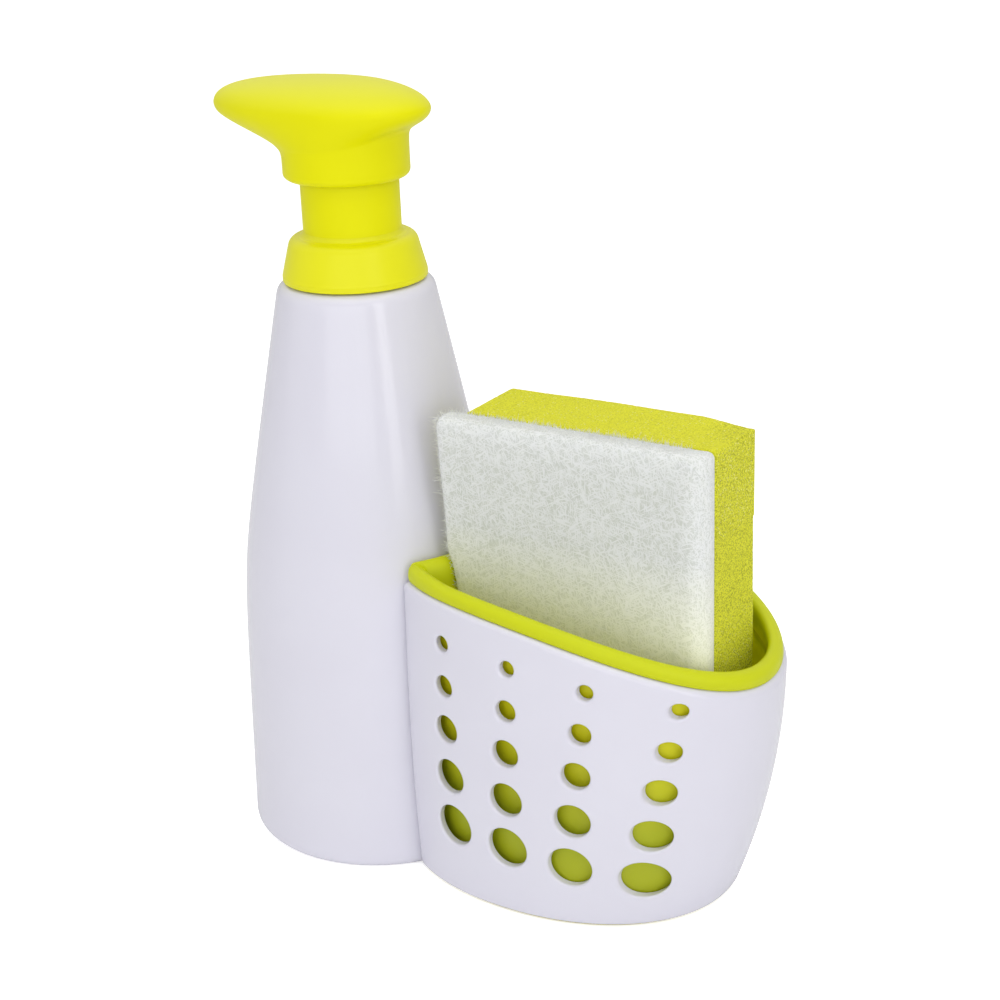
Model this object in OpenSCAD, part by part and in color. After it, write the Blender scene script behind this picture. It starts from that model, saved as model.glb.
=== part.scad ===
// Soap pump caddy: a tapered soap bottle with a lime pump, and a perforated sponge basket
// that hugs the bottle and holds a lift-out liner with a scouring sponge in it.
// Millimetres, +Z up. The bottle and the basket lie in line along X, and the plane y = 0
// cuts both in half. The origin is under the middle of the whole caddy.

/* [Bottle] */
// Radius of the bottle at the counter
bottle_base_r = 40.4; // [36:0.2:46]
// Height where the steep lower wall turns into the cone
bottle_bend_z = 82.5; // [70:0.5:95]
// Radius there, before the turn is rounded
bottle_bend_r = 38; // [34:0.2:42]
// How far the rounded turn cuts inside that corner
bottle_bend_cut = 1.3; // [0.5:0.1:3]
// Height of the flat shoulder under the collar
bottle_shoulder_z = 163.3; // [150:0.1:180]
// Radius that the cone aims for at the shoulder
bottle_shoulder_r = 21.9; // [20.5:0.1:26]
// Rounding between the cone and the shoulder
bottle_shoulder_round = 2.4; // [1:0.1:4]
// Rounding of the bottom corner
bottle_foot_round = 2.2; // [1:0.1:4]
// Width of the ring that the bottle stands on
bottle_foot_w = 4; // [2:0.5:8]
// Height of the push-up inside that ring
bottle_push_up = 3; // [1:0.5:6]
// Wall of the bottle
bottle_wall = 1.8; // [1.2:0.1:3]

/* [Neck and collar] */
// Outer radius of the neck
neck_r = 15.6; // [14.6:0.1:15.8]
// Wall of the neck
neck_wall = 2; // [1.4:0.1:2.6]
// Height of the neck above the shoulder
neck_h = 7.7; // [6:0.1:12]
// Outer radius of the collar at its lower edge
collar_r = 20; // [19:0.1:20.6]
// Height of the collar
collar_h = 12.1; // [11.6:0.1:13]
// Lean of the collar's side, as a loss of radius from bottom to top
collar_taper = 2.7; // [1:0.1:3]
// Rounding of the collar's top edge
collar_round = 2.2; // [1:0.1:3]
// Height of the upright band at the collar's lower edge
collar_band_h = 1.6; // [0.6:0.1:3]
// Gap between the collar and the shoulder
collar_gap = 0.4; // [0.2:0.1:1]

/* [Pump] */
// Outer radius of the sleeve that the head slides over
sleeve_r = 13.3; // [12.4:0.1:13.8]
// Wall of the sleeve
sleeve_wall = 1.5; // [1:0.1:2]
// Height of the sleeve's top above the collar
sleeve_rise = 19.2; // [15:0.1:22]
// Travel of the head when it is pressed
stroke = 11; // [6:0.5:11]
// Inner radius of the pump barrel
barrel_bore_r = 6; // [5:0.1:6.6]
// Wall of the pump barrel
barrel_wall = 1.4; // [1:0.1:2]
// Length of the barrel below its flange
barrel_len = 55; // [50:1:65]
// Outer radius of the dip tube
tube_r = 3; // [2.4:0.1:3.4]
// Wall of the dip tube
tube_wall = 0.8; // [0.5:0.1:1]
// Height of the dip tube's mouth above the counter
tube_mouth_z = 8.5; // [7:0.5:20]
// Outer radius of the stem
stem_r = 3.6; // [3:0.1:4.2]
// Outer radius of the spring
spring_r = 4.9; // [4.2:0.1:5.2]
// Thickness of the spring wire
spring_wire = 0.9; // [0.6:0.1:1.1]
// Full turns of the spring
spring_turns = 8; // [6:1:9]
// Length of the spring while the head is up
spring_len = 29.4; // [26:0.2:32]

/* [Head] */
// Height of the head, from the lower edge of its skirt to its top
head_h = 26.3; // [25:0.1:32]
// How far the skirt laps the sleeve while the head is up
skirt_lap = 3.7; // [2:0.1:6]
// Height of the head's widest edge below its top
head_edge_drop = 8.8; // [7:0.1:10]
// Height of the straight skirt below the head's swell
skirt_h = 9; // [8:0.1:10]
// Outer radius of the skirt
skirt_r = 16.6; // [16:0.1:18]
// Wall of the skirt
skirt_wall = 2.2; // [1.4:0.1:2.4]
// Reach of the beak from the pump axis
beak_reach = 42.4; // [38:0.2:48]
// Reach of the head behind the pump axis
head_back_reach = 25; // [20:0.2:30]
// Half width of the head
head_half_w = 18.7; // [17.2:0.1:21]
// Width of the spout channel piece
spout_w = 6; // [5:0.1:8]

/* [Basket] */
// Reach of the basket's base from the pump axis
basket_base_reach = 113; // [105:0.5:125]
// Reach of the basket at the height of the rim's high end
basket_top_reach = 126.1; // [116:0.5:140]
// Outward bulge of the far wall halfway up
basket_reach_bulge = 5; // [0:0.1:8]
// Half width of the basket's base
basket_base_half_w = 35.9; // [33:0.1:40]
// Half width at the height of the rim's high end
basket_top_half_w = 37.1; // [34:0.1:42]
// Outward bulge of the side walls halfway up
basket_side_bulge = 3.1; // [0:0.1:5]
// Distance from the pump axis to the near end of the plan outline
basket_near_x = 14; // [10:0.5:18]
// Squareness of the plan outline, where 2 is an ellipse
basket_squareness = 2.1; // [2:0.05:2.5]
// Height of the rim beside the bottle
rim_high_z = 87; // [80:0.5:100]
// Height of the rim at the far end
rim_low_z = 68.3; // [60:0.5:85]
// Wall of the basket
basket_wall = 2.2; // [1.6:0.1:2.6]
// Clearance between the bottle and the basket's saddle
saddle_gap = 0.35; // [0.2:0.05:0.6]
// Width of the ledge round the open floor
ledge_w = 4; // [2:0.5:8]
// Thickness of that ledge
ledge_h = 2; // [1.4:0.1:3]
// Thickness of the foot ring under the basket
foot_h = 0.6; // [0.4:0.1:1.2]
// Width of the foot ring
foot_w = 3.6; // [2:0.1:4]

/* [Holes] */
// Diameter of the lowest holes
hole_d = 11.8; // [8:0.1:12.4]
// Distance from the pump axis to the first column, at the counter
hole_first_x = 49.3; // [49:0.1:52]
// Pitch of the columns, at the counter
hole_pitch = 16.3; // [14:0.1:16.4]
// Distance to the first column, at the height of the rim's high end
hole_first_top_x = 45.2; // [44:0.1:48]
// Pitch of the columns, at the height of the rim's high end
hole_top_pitch = 22.8; // [20:0.1:23.6]
// Width of the softened edge round each hole
hole_edge = 0.8; // [0.3:0.1:1]

/* [Liner] */
// Wall of the liner
liner_wall = 1.6; // [1.2:0.1:2]
// Clearance between the liner and the basket
liner_gap = 0.35; // [0.25:0.05:0.6]
// Height of the rolled lip above the basket's rim
lip_h = 3.9; // [2:0.1:5]
// Distance from the basket's outside to the lip's outer edge
lip_inset = 1; // [0.6:0.1:1.4]
// Width of the lip
lip_w = 4.1; // [3.6:0.1:5]
// Thickness of the liner's floor
liner_floor = 1.8; // [1.2:0.1:3]
// Height of the drying ribs above that floor
rib_h = 5.3; // [3:0.1:8]
// Thickness of a drying rib
rib_w = 2; // [1.2:0.1:3]
// Number of drying ribs
rib_count = 4; // [2:1:5]

/* [Sponge] */
// Height of the sponge
sponge_h = 123; // [100:1:130]
// Width of the foam block
foam_w = 73; // [60:0.5:74]
// Thickness of the foam block
foam_t = 24; // [16:0.5:26]
// Thickness of the scouring pad
pad_t = 6.5; // [3:0.1:7]
// How far the pad overhangs the foam at the bottle's side
pad_overhang = 4.5; // [0:0.1:5]
// Distance from the pump axis to the foam's near edge
foam_near_x = 41; // [40:0.1:42]
// How far the sponge stands off the middle, towards the basket's front
sponge_off_y = 2; // [0:0.1:2.4]
// Softening of the sponge's edges
sponge_round = 1.6; // [0.5:0.1:3]
// Clearance round the sponge where the liner squeezes it
sponge_gap = 0.4; // [0.3:0.05:1]

/* [Hidden] */

white = [0.86, 0.85, 0.90];
lime = [0.87, 0.90, 0.05];
lip_lime = [0.80, 0.86, 0.08];
foam_lime = [0.78, 0.82, 0.15];
pad_white = [0.88, 0.89, 0.87];
steel = [0.75, 0.76, 0.78];
seal_grey = [0.45, 0.46, 0.48];
natural = [0.93, 0.93, 0.91];

$fn = 96;
over = 1; // overrun of every cut

// Running clearance of pins and pistons, the hair's breadth between seated faces, and the
// clearance of what only rests or must not touch
run_gap = 0.06;
seat_gap = 0.03;
rest_gap = 0.3;
press_gap = 0.5;

// The pump axis lies this far from the origin, so that the origin is under the middle
origin_x = (far_x(rim_low_z) - beak_reach) / 2;

// Heights of the pump, counted up from the neck
neck_top_z = bottle_shoulder_z + neck_h;
gasket_h = 0.8;
flange_h = 1.2;
sleeve_flange_h = 1;
collar_z = bottle_shoulder_z + collar_gap;
collar_top_z = collar_z + collar_h;
flange_z = neck_top_z + gasket_h;
flange_top_z = flange_z + flange_h;
sleeve_foot_top_z = flange_top_z + sleeve_flange_h;
sleeve_top_z = collar_top_z + sleeve_rise;
flange_r = neck_r - 0.2 * neck_wall;
collar_bore_r = neck_r + collar_gap;

// The barrel's lower end: a ledge for the spring, a seat for the ball, a socket for the tube
barrel_r = barrel_bore_r + barrel_wall;
ledge_z = flange_z - barrel_len;
ball_r = 2.2;
ball_seat_r = 1.5;
ball_well_r = ball_r + 0.5 * barrel_wall;
ball_well_h = 2.2 * ball_r;
seat_z = ledge_z - ball_well_h;
socket_r = tube_r + barrel_wall;
socket_len = 7;
seat_web = barrel_wall;
socket_z = seat_z - seat_web - socket_len;
tube_top_z = seat_z - seat_web - seat_gap;
ball_z = seat_z + sqrt(ball_r * ball_r - ball_seat_r * ball_seat_r) + seat_gap;

// The moving column: plug, piston, stem and the chamber of the outlet ball
plug_r = spring_r + run_gap;
plug_h = 1.8;
plug_z = ledge_z + spring_len;
rod_r = 1.6;
piston_z = plug_z + plug_h + seat_gap;
piston_h = 6.5;
stem_z = piston_z + piston_h + seat_gap;
stem_bore_r = 1.9;
rod_grip = 8;
rod_top_z = stem_z + rod_grip;
outlet_ball_r = 1.6;
outlet_seat_r = 1.1;
outlet_chamber_h = 6;

// The head's heights
skirt_z = sleeve_top_z - skirt_lap;
head_top_z = skirt_z + head_h;
head_edge_z = head_top_z - head_edge_drop;
skirt_in_r = skirt_r - skirt_wall;
channel_z = sleeve_top_z + stroke + press_gap;
channel_h = 5;
channel_bore = 3;
channel_top_z = channel_z + channel_h;
stem_top_z = channel_z;
outlet_seat_z = stem_top_z - outlet_chamber_h;
outlet_ball_z = outlet_seat_z
    + sqrt(outlet_ball_r * outlet_ball_r - outlet_seat_r * outlet_seat_r) + seat_gap;

// Levels of the liner and the sponge
liner_z = foot_h + ledge_h + rest_gap;
liner_inset = basket_wall + liner_gap;
liner_in_inset = liner_inset + liner_wall;
liner_floor_z = liner_z + liner_floor;
sponge_z = liner_floor_z + rib_h + rest_gap;
sponge_top_z = sponge_z + sponge_h;
sponge_t = foam_t + pad_t;
sponge_back_y = sponge_t / 2 - sponge_off_y;
sponge_mid_y = sponge_back_y - foam_t;

// Points round the basket's plan: the outer curve, and the saddle between its ends
outer_steps = 36;
saddle_steps = 8;

// Radius of the bottle's outside at height z: two straight lines, joined by a soft turn
function bottle_r(z) =
    let (lower = bottle_base_r + (bottle_bend_r - bottle_base_r) * z / bottle_bend_z,
         upper = bottle_bend_r + (bottle_shoulder_r - bottle_bend_r)
             * (z - bottle_bend_z) / (bottle_shoulder_z - bottle_bend_z))
    (lower + upper) / 2 - sqrt(pow((lower - upper) / 2, 2) + pow(bottle_bend_cut, 2));

// Reach and half width of the basket's outside at height z
function far_x(z) =
    let (s = z / rim_high_z)
    basket_base_reach + (basket_top_reach - basket_base_reach) * s
        + 4 * basket_reach_bulge * s * (1 - s);
function half_w(z) =
    let (s = z / rim_high_z)
    basket_base_half_w + (basket_top_half_w - basket_base_half_w) * s
        + 4 * basket_side_bulge * s * (1 - s);

// Height of the rim over a point x: level beside the bottle, then falling as a parabola
rim_bend_x = bottle_base_r + basket_wall;
rim_end_x = basket_top_reach;
function rim_z(x) =
    rim_high_z - (rim_high_z - rim_low_z)
        * pow((max(x, rim_bend_x) - rim_bend_x) / (rim_end_x - rim_bend_x), 2);

// Plan outline at height z, drawn in by inset: a point of the outer curve at angle t
function outer_x(z, inset, t) =
    let (mid = (far_x(z) + basket_near_x) / 2, a = (far_x(z) - basket_near_x) / 2 - inset)
    mid + a * sign(cos(t)) * pow(abs(cos(t)), 2 / basket_squareness);
function outer_y(z, inset, t) =
    (half_w(z) - inset) * sign(sin(t)) * pow(abs(sin(t)), 2 / basket_squareness);

// Half width of the outline over a point x, and the radius of the saddle round the bottle
function half_w_at(x, z, inset) =
    let (mid = (far_x(z) + basket_near_x) / 2, a = (far_x(z) - basket_near_x) / 2 - inset)
    (half_w(z) - inset)
        * pow(max(0, 1 - pow(abs((x - mid) / a), basket_squareness)), 1 / basket_squareness);
function saddle_r(z, inset) = bottle_r(z) + saddle_gap + inset;

// The narrowest half width over a point x between height z and the rim: what is lifted
// straight out of the basket stays within it
draft_steps = 4;
function draft_w_at(x, z, inset) =
    min([for (i = [0 : draft_steps])
        half_w_at(x, z + (rim_z(x) - z) * i / draft_steps, inset)]);
function plan_y(z, inset, t, draft) =
    let (y = outer_y(z, inset, t), x = outer_x(z, inset, t))
    draft ? sign(y) * min(abs(y), draft_w_at(x, z, inset)) : y;

// Angle at which the outer curve meets the saddle, found by halving
function meet_t(z, inset, draft, low = 95, high = 175, steps = 18) =
    steps == 0 ? (low + high) / 2
    : let (t = (low + high) / 2,
           r = norm([outer_x(z, inset, t), plan_y(z, inset, t, draft)]))
      r > saddle_r(z, inset)
          ? meet_t(z, inset, draft, t, high, steps - 1)
          : meet_t(z, inset, draft, low, t, steps - 1);

// A level of the basket is [inset, share, lift]: it lies at share of the rim's height,
// plus lift. The rim's height over a point depends on x, so it is settled in three steps.
function level_z(level, x) = level[1] * rim_z(x) + level[2];
function settle_z(level, t, z, steps = 3) =
    steps == 0 ? z : settle_z(level, t, level_z(level, outer_x(z, level[0], t)), steps - 1);
function ring(level, draft = false) =
    let (near_z = level_z(level, 0),
         meet = meet_t(near_z, level[0], draft),
         r = saddle_r(near_z, level[0]),
         turn = atan2(plan_y(near_z, level[0], meet, draft), outer_x(near_z, level[0], meet)))
    concat(
        [for (i = [0 : outer_steps])
            let (t = -meet + 2 * meet * i / outer_steps, z = settle_z(level, t, near_z))
            [outer_x(z, level[0], t), plan_y(z, level[0], t, draft), z]],
        [for (i = [1 : saddle_steps - 1])
            let (t = turn - 2 * turn * i / saddle_steps)
            [r * cos(t), r * sin(t), near_z]]);

// A skin over rings of equal count: closed to a tube, or capped at both ends
module skin(rings, tube = false) {
    count = len(rings[0]);
    last = len(rings) - 1;
    points = [for (r = rings) each r];
    sides = [for (j = [0 : tube ? last : last - 1], i = [0 : count - 1])
        let (a = j * count + i, b = j * count + (i + 1) % count,
             c = ((j + 1) % (last + 1)) * count + (i + 1) % count,
             d = ((j + 1) % (last + 1)) * count + i)
        each [[a, c, b], [a, d, c]]];
    caps = tube ? [] : [
        [for (i = [0 : count - 1]) i],
        [for (i = [0 : count - 1]) last * count + count - 1 - i]];
    polyhedron(points = points, faces = concat(sides, caps));
}

// Puts a piece that is drawn round the pump axis into the caddy's frame
module on_axis() {
    translate([-origin_x, 0, 0]) children();
}

// Points of a quarter turn from angle a to angle b round a centre
function arc(centre, r, a, b, steps = 5) =
    [for (i = [0 : steps])
        let (t = a + (b - a) * i / steps)
        [centre[0] + r * cos(t), centre[1] + r * sin(t)]];

// Outline of the bottle's body, drawn in by inset, up to the flat shoulder
wall_steps = 22;
function bottle_side(inset) =
    let (z0 = bottle_foot_round + inset,
         z1 = bottle_shoulder_z - bottle_shoulder_round)
    [for (i = [0 : wall_steps])
        let (z = z0 + (z1 - z0) * i / wall_steps)
        [bottle_r(z) - inset, z]];

// The bottle's body as a solid of revolution, standing on its ring round the push-up
module bottle_solid(inset) {
    side = bottle_side(inset);
    top_r = bottle_r(bottle_shoulder_z - bottle_shoulder_round);
    stand_r = bottle_base_r - bottle_foot_round - bottle_foot_w;
    rotate_extrude()
        polygon(concat(
            [[0, bottle_push_up + inset], [stand_r - bottle_push_up, bottle_push_up + inset],
             [stand_r, inset]],
            arc([side[0][0] - bottle_foot_round, inset + bottle_foot_round],
                bottle_foot_round, -90, 0),
            side,
            arc([top_r - bottle_shoulder_round, bottle_shoulder_z - bottle_shoulder_round],
                bottle_shoulder_round - inset, 0, 90),
            [[0, bottle_shoulder_z - inset]]));
}

// Two lugs on the bottle's hidden side stand in windows of the basket's saddle
lug_w = 12;
lug_h = 7;
lug_levels_share = [0.26, 0.72];
lug_reach = 1.5;
lug_gap = 0.2;
module lug_blocks(reach, grow) {
    for (share = lug_levels_share) {
        z = share * rim_high_z;
        translate([bottle_r(z) - bottle_wall / 2, -lug_w / 2 - grow, z - lug_h / 2 - grow])
            cube([bottle_wall / 2 + reach, lug_w + 2 * grow, lug_h + 2 * grow]);
    }
}

module bottle() {
    neck_foot_z = bottle_shoulder_z - bottle_wall / 2;
    color(white) on_axis()
        difference() {
            union() {
                bottle_solid(0);
                translate([0, 0, neck_foot_z])
                    cylinder(r = neck_r, h = neck_top_z - neck_foot_z);
                lug_blocks(saddle_gap + lug_reach, 0);
            }
            bottle_solid(bottle_wall);
            translate([0, 0, bottle_shoulder_z / 2])
                cylinder(r = neck_r - neck_wall, h = neck_top_z);
        }
}

// Levels of the basket's shell: up the outside, over the rounded rim, down the inside,
// along the ledge and back underneath
shell_shares = [0.12, 0.3, 0.5, 0.7, 0.88];
base_round = 1.2;
rim_round = 1.5;
function lift_levels(inset, shares) = [for (s = shares) [inset, s, (1 - s) * foot_h]];
function reversed(list) = [for (i = [len(list) - 1 : -1 : 0]) list[i]];
shell_levels = concat(
    [[base_round, 0, foot_h], [0.3 * base_round, 0, foot_h + 0.3 * base_round],
     [0, 0, foot_h + base_round]],
    lift_levels(0, shell_shares),
    [[0, 1, -rim_round], [0.3 * rim_round, 1, -0.3 * rim_round], [rim_round, 1, 0],
     [basket_wall, 1, 0]],
    lift_levels(basket_wall, [0.75, 0.5, 0.25]),
    [[basket_wall, 0, foot_h + ledge_h], [basket_wall + ledge_w, 0, foot_h + ledge_h],
     [basket_wall + ledge_w, 0, foot_h]]);

// The holes stand in columns that fan out upwards. Each is cut straight along Y through
// both sides, and the rows sink with the rim.
hole_columns = 4;
hole_row_shares = [0.262, 0.436, 0.598, 0.740, 0.877];
hole_size_shares = [1, 0.83, 0.66, 0.51, 0.37];
hole_sink_share = 0.63;
function hole_x(column, z) =
    let (s = z / rim_high_z)
    (1 - s) * (hole_first_x + column * hole_pitch)
        + s * (hole_first_top_x + column * hole_top_pitch);
function hole_z(column, row) =
    let (z = hole_row_shares[row] * rim_high_z)
    z - hole_sink_share * (rim_high_z - rim_z(hole_x(column, z)));
hole_steps = 16;
function hole_ring(x, z, r, depth, side) =
    [for (i = [0 : hole_steps - 1])
        let (t = 360 * i / hole_steps, px = x + r * cos(t), pz = z + r * sin(t))
        [px, side * (half_w_at(px, pz, 0) - depth), pz]];

module holes() {
    for (column = [0 : hole_columns - 1], row = [0 : len(hole_row_shares) - 1]) {
        z = hole_z(column, row);
        x = hole_x(column, hole_row_shares[row] * rim_high_z);
        r = hole_size_shares[row] * hole_d / 2;
        reach = basket_top_half_w + basket_side_bulge + over;
        translate([x, reach, z])
            rotate([90, 0, 0])
                cylinder(r = r, h = 2 * reach, $fn = hole_steps);
        for (side = [-1, 1])
            hull() {
                skin([hole_ring(x, z, r + 1.2 * hole_edge, -0.2 * hole_edge, side),
                    hole_ring(x, z, r - 0.2 * hole_edge, 1.2 * hole_edge, side)]);
            }
    }
}

module basket_shell() {
    color(white) on_axis()
        difference() {
            skin([for (level = shell_levels) ring(level)], tube = true);
            holes();
            lug_blocks(saddle_gap + basket_wall + over, lug_gap);
        }
}

module basket_foot() {
    foot_levels = [
        [base_round, 0, 0], [base_round, 0, foot_h],
        [base_round + foot_w, 0, foot_h], [base_round + foot_w, 0, 0]];
    color(lip_lime) on_axis()
        skin([for (level = foot_levels) ring(level)], tube = true);
}

// Levels of the liner: up its outside, round the lip, down its inside to the floor
liner_shares = [0.14, 0.35, 0.6, 0.84];
lip_seat = 0.25;
lip_levels = [
    [lip_inset + 0.12 * lip_w, 1, lip_seat],
    [lip_inset + 0.02 * lip_w, 1, lip_seat + 0.2 * lip_h],
    [lip_inset, 1, lip_seat + 0.45 * lip_h],
    [lip_inset + 0.1 * lip_w, 1, lip_seat + 0.78 * lip_h],
    [lip_inset + 0.36 * lip_w, 1, lip_h],
    [lip_inset + 0.7 * lip_w, 1, 0.96 * lip_h],
    [lip_inset + 0.94 * lip_w, 1, 0.7 * lip_h],
    [lip_inset + lip_w, 1, 0.3 * lip_h],
    [liner_in_inset + 0.4 * (lip_inset + lip_w - liner_in_inset), 1, -0.6 * lip_h]];
liner_levels = concat(
    [[liner_inset + liner_wall, 0, liner_z], [liner_inset, 0, liner_z + liner_wall]],
    lift_levels(liner_inset, liner_shares),
    [[liner_inset, 1, lip_seat]],
    lip_levels,
    [[liner_in_inset, 1, -1.6 * lip_h]],
    lift_levels(liner_in_inset, reversed(liner_shares)),
    [[liner_in_inset, 0, liner_floor_z + liner_wall],
     [liner_in_inset + liner_wall, 0, liner_floor_z]]);

module liner() {
    near = saddle_r(liner_z, liner_in_inset) + 2 * liner_wall;
    far = far_x(liner_z) - liner_in_inset - 8 * liner_wall;
    pitch = sponge_t / rib_count;
    color(lip_lime) on_axis()
        union() {
            skin([for (level = liner_levels) ring(level, draft = level[1] < 1)]);
            for (i = [0 : rib_count - 1])
                translate([near, (i + 0.5) * pitch - (sponge_t + rib_w) / 2,
                    liner_floor_z - liner_floor / 2])
                    cube([far - near, rib_w, liner_floor / 2 + rib_h]);
        }
}

// The sponge is squeezed by the liner: its near face takes the saddle's curve, and its far
// side is drawn in to clear the liner's wall, and the lip at the height of the rim
lip_low_z = rim_low_z - 2 * lip_h;
squeeze_y = sponge_t / 2 + sponge_off_y + sponge_gap;
function squeeze_x(z) =
    let (inset = z < lip_low_z ? liner_in_inset : lip_inset + lip_w,
         a = (far_x(z) - basket_near_x) / 2 - inset,
         w = half_w(z) - inset)
    (far_x(z) + basket_near_x) / 2
        + a * pow(1 - pow(squeeze_y / w, basket_squareness), 1 / basket_squareness)
        - sponge_gap;

module saddle_cut() {
    steps = 8;
    top = 1.02 * rim_high_z + lip_h;
    clear = liner_in_inset + (lip_inset + lip_w - liner_in_inset) + sponge_gap;
    rotate_extrude()
        polygon(concat(
            [[0, 0]],
            [for (i = [0 : steps])
                let (z = top * i / steps)
                [saddle_r(z, clear), z]],
            [[0, top]]));
}

module sponge_slab(near, width, back, thick) {
    far = near + width;
    squeeze_steps = 8;
    squeeze_top = rim_high_z + lip_h;
    difference() {
        translate([0, back, 0])
            rotate([90, 0, 0])
                linear_extrude(thick)
                    polygon(concat(
                        [[near + sponge_round, sponge_z]],
                        [for (i = [0 : squeeze_steps])
                            let (z = sponge_z + (squeeze_top - sponge_z) * i / squeeze_steps)
                            [min(far, squeeze_x(min(z, rim_low_z + lip_h))), z]],
                        arc([far - sponge_round, sponge_top_z - sponge_round],
                            sponge_round, 0, 90, 3),
                        arc([near + sponge_round, sponge_top_z - sponge_round],
                            sponge_round, 90, 180, 3),
                        [[near, sponge_z + sponge_round]]));
        saddle_cut();
    }
}

module sponge_foam() {
    color(foam_lime) on_axis()
        sponge_slab(foam_near_x, foam_w, sponge_back_y, foam_t);
}

module scour_pad() {
    color(pad_white) on_axis()
        sponge_slab(foam_near_x - pad_overhang, foam_w + pad_overhang, sponge_mid_y, pad_t);
}

module collar() {
    top_r = collar_r - collar_taper;
    color(lime) on_axis()
        rotate_extrude()
            polygon(concat(
                [[collar_bore_r, collar_z],
                 [collar_r, collar_z],
                 [collar_r, collar_z + collar_band_h]],
                arc([top_r - collar_round, collar_top_z - collar_round],
                    collar_round, 8, 90),
                [[sleeve_r + run_gap, collar_top_z],
                 [sleeve_r + run_gap, sleeve_foot_top_z + run_gap],
                 [collar_bore_r, sleeve_foot_top_z + run_gap]]));
}

module guide_sleeve() {
    boss_r = stem_r + sleeve_wall;
    boss_h = 6;
    bore_r = sleeve_r - sleeve_wall;
    color(lime) on_axis()
        rotate_extrude()
            polygon([
                [stem_r + run_gap, flange_top_z], [flange_r, flange_top_z],
                [flange_r, sleeve_foot_top_z], [sleeve_r, sleeve_foot_top_z],
                [sleeve_r, sleeve_top_z - sleeve_wall / 2],
                [sleeve_r - sleeve_wall / 2, sleeve_top_z], [bore_r, sleeve_top_z],
                [bore_r, sleeve_foot_top_z + sleeve_wall],
                [boss_r, sleeve_foot_top_z + sleeve_wall],
                [boss_r, sleeve_foot_top_z + boss_h],
                [stem_r + run_gap, sleeve_foot_top_z + boss_h]]);
}

module pump_barrel() {
    vent_r = 0.8;
    color(natural) on_axis()
        difference() {
            rotate_extrude()
                polygon([
                    [barrel_bore_r, flange_top_z], [flange_r, flange_top_z],
                    [flange_r, flange_z], [barrel_r, flange_z],
                    [barrel_r, ledge_z], [socket_r, seat_z],
                    [socket_r, socket_z], [tube_r + seat_gap, socket_z],
                    [tube_r + seat_gap, seat_z - seat_web],
                    [ball_seat_r, seat_z - seat_web], [ball_seat_r, seat_z],
                    [ball_well_r, seat_z], [ball_well_r, ledge_z],
                    [barrel_bore_r, ledge_z]]);
            translate([0, 0, flange_z - 3 * vent_r])
                rotate([90, 0, 0])
                    cylinder(r = vent_r, h = barrel_r + over, $fn = 24);
        }
}

module neck_gasket() {
    color(seal_grey) on_axis()
        translate([0, 0, neck_top_z])
            difference() {
                cylinder(r = flange_r, h = gasket_h);
                translate([0, 0, -over])
                    cylinder(r = neck_r - neck_wall, h = gasket_h + 2 * over);
            }
}

module dip_tube() {
    color(natural) on_axis()
        translate([0, 0, tube_mouth_z])
            difference() {
                cylinder(r = tube_r, h = tube_top_z - tube_mouth_z, $fn = 48);
                translate([0, 0, -over])
                    cylinder(r = tube_r - tube_wall, h = tube_top_z + over, $fn = 48);
                rotate([0, 45, 0])
                    cube([2 * tube_r, 4 * tube_r, 2 * tube_r], center = true);
            }
}

module inlet_ball() {
    color(steel) on_axis()
        translate([0, 0, ball_z])
            sphere(r = ball_r, $fn = 48);
}

// The spring is one wire swept along a helix
spring_low_z = ledge_z + seat_gap;
spring_high_z = plug_z - seat_gap;
spring_ring_steps = 8;
spring_sides = 6;
function spring_ring(i) =
    let (count = spring_turns * spring_ring_steps,
         t = 360 * i / spring_ring_steps,
         r = spring_r - spring_wire / 2,
         z = spring_low_z + spring_wire / 2
             + (spring_high_z - spring_low_z - spring_wire) * i / count)
    [for (k = [0 : spring_sides - 1])
        let (a = 360 * k / spring_sides + 90, q = r + spring_wire / 2 * cos(a))
        [q * cos(t), q * sin(t), z + spring_wire / 2 * sin(a)]];

module return_spring() {
    color(steel) on_axis()
        skin([for (i = [spring_turns * spring_ring_steps : -1 : 0]) spring_ring(i)]);
}

module piston() {
    seal_r = barrel_bore_r - run_gap;
    lip = piston_h / 6;
    waist_r = seal_r - lip;
    color(seal_grey) on_axis()
        rotate_extrude()
            polygon([
                [rod_r + run_gap, piston_z], [waist_r, piston_z],
                [seal_r, piston_z + lip / 2], [seal_r, piston_z + lip],
                [waist_r, piston_z + 2 * lip], [waist_r, piston_z + 4 * lip],
                [seal_r, piston_z + 5 * lip], [seal_r, piston_z + 5.5 * lip],
                [waist_r, piston_z + piston_h], [rod_r + run_gap, piston_z + piston_h]]);
}

module valve_rod() {
    color(natural) on_axis() {
        translate([0, 0, plug_z])
            cylinder(r = plug_r, h = plug_h);
        translate([0, 0, plug_z + plug_h / 2])
            cylinder(r = rod_r, h = stem_z - plug_z, $fn = 48);
        translate([0, 0, stem_z + seat_gap])
            difference() {
                cylinder(r = stem_bore_r - seat_gap, h = rod_top_z - stem_z, $fn = 48);
                for (turn = [0, 90])
                    rotate([0, 0, turn])
                        translate([-2 * rod_r, -rod_r / 4, rod_r])
                            cube([4 * rod_r, rod_r / 2, rod_top_z]);
            }
    }
}

module stem() {
    chamber_r = outlet_ball_r + rest_gap;
    color(natural) on_axis()
        rotate_extrude()
            polygon([
                [stem_bore_r, stem_z], [stem_r, stem_z],
                [stem_r, stem_top_z], [chamber_r, stem_top_z],
                [chamber_r, outlet_seat_z], [outlet_seat_r, outlet_seat_z],
                [outlet_seat_r, rod_top_z + stem_r], [stem_bore_r, rod_top_z + stem_r]]);
}

module outlet_ball() {
    color(steel) on_axis()
        translate([0, 0, outlet_ball_z])
            sphere(r = outlet_ball_r, $fn = 48);
}

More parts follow.
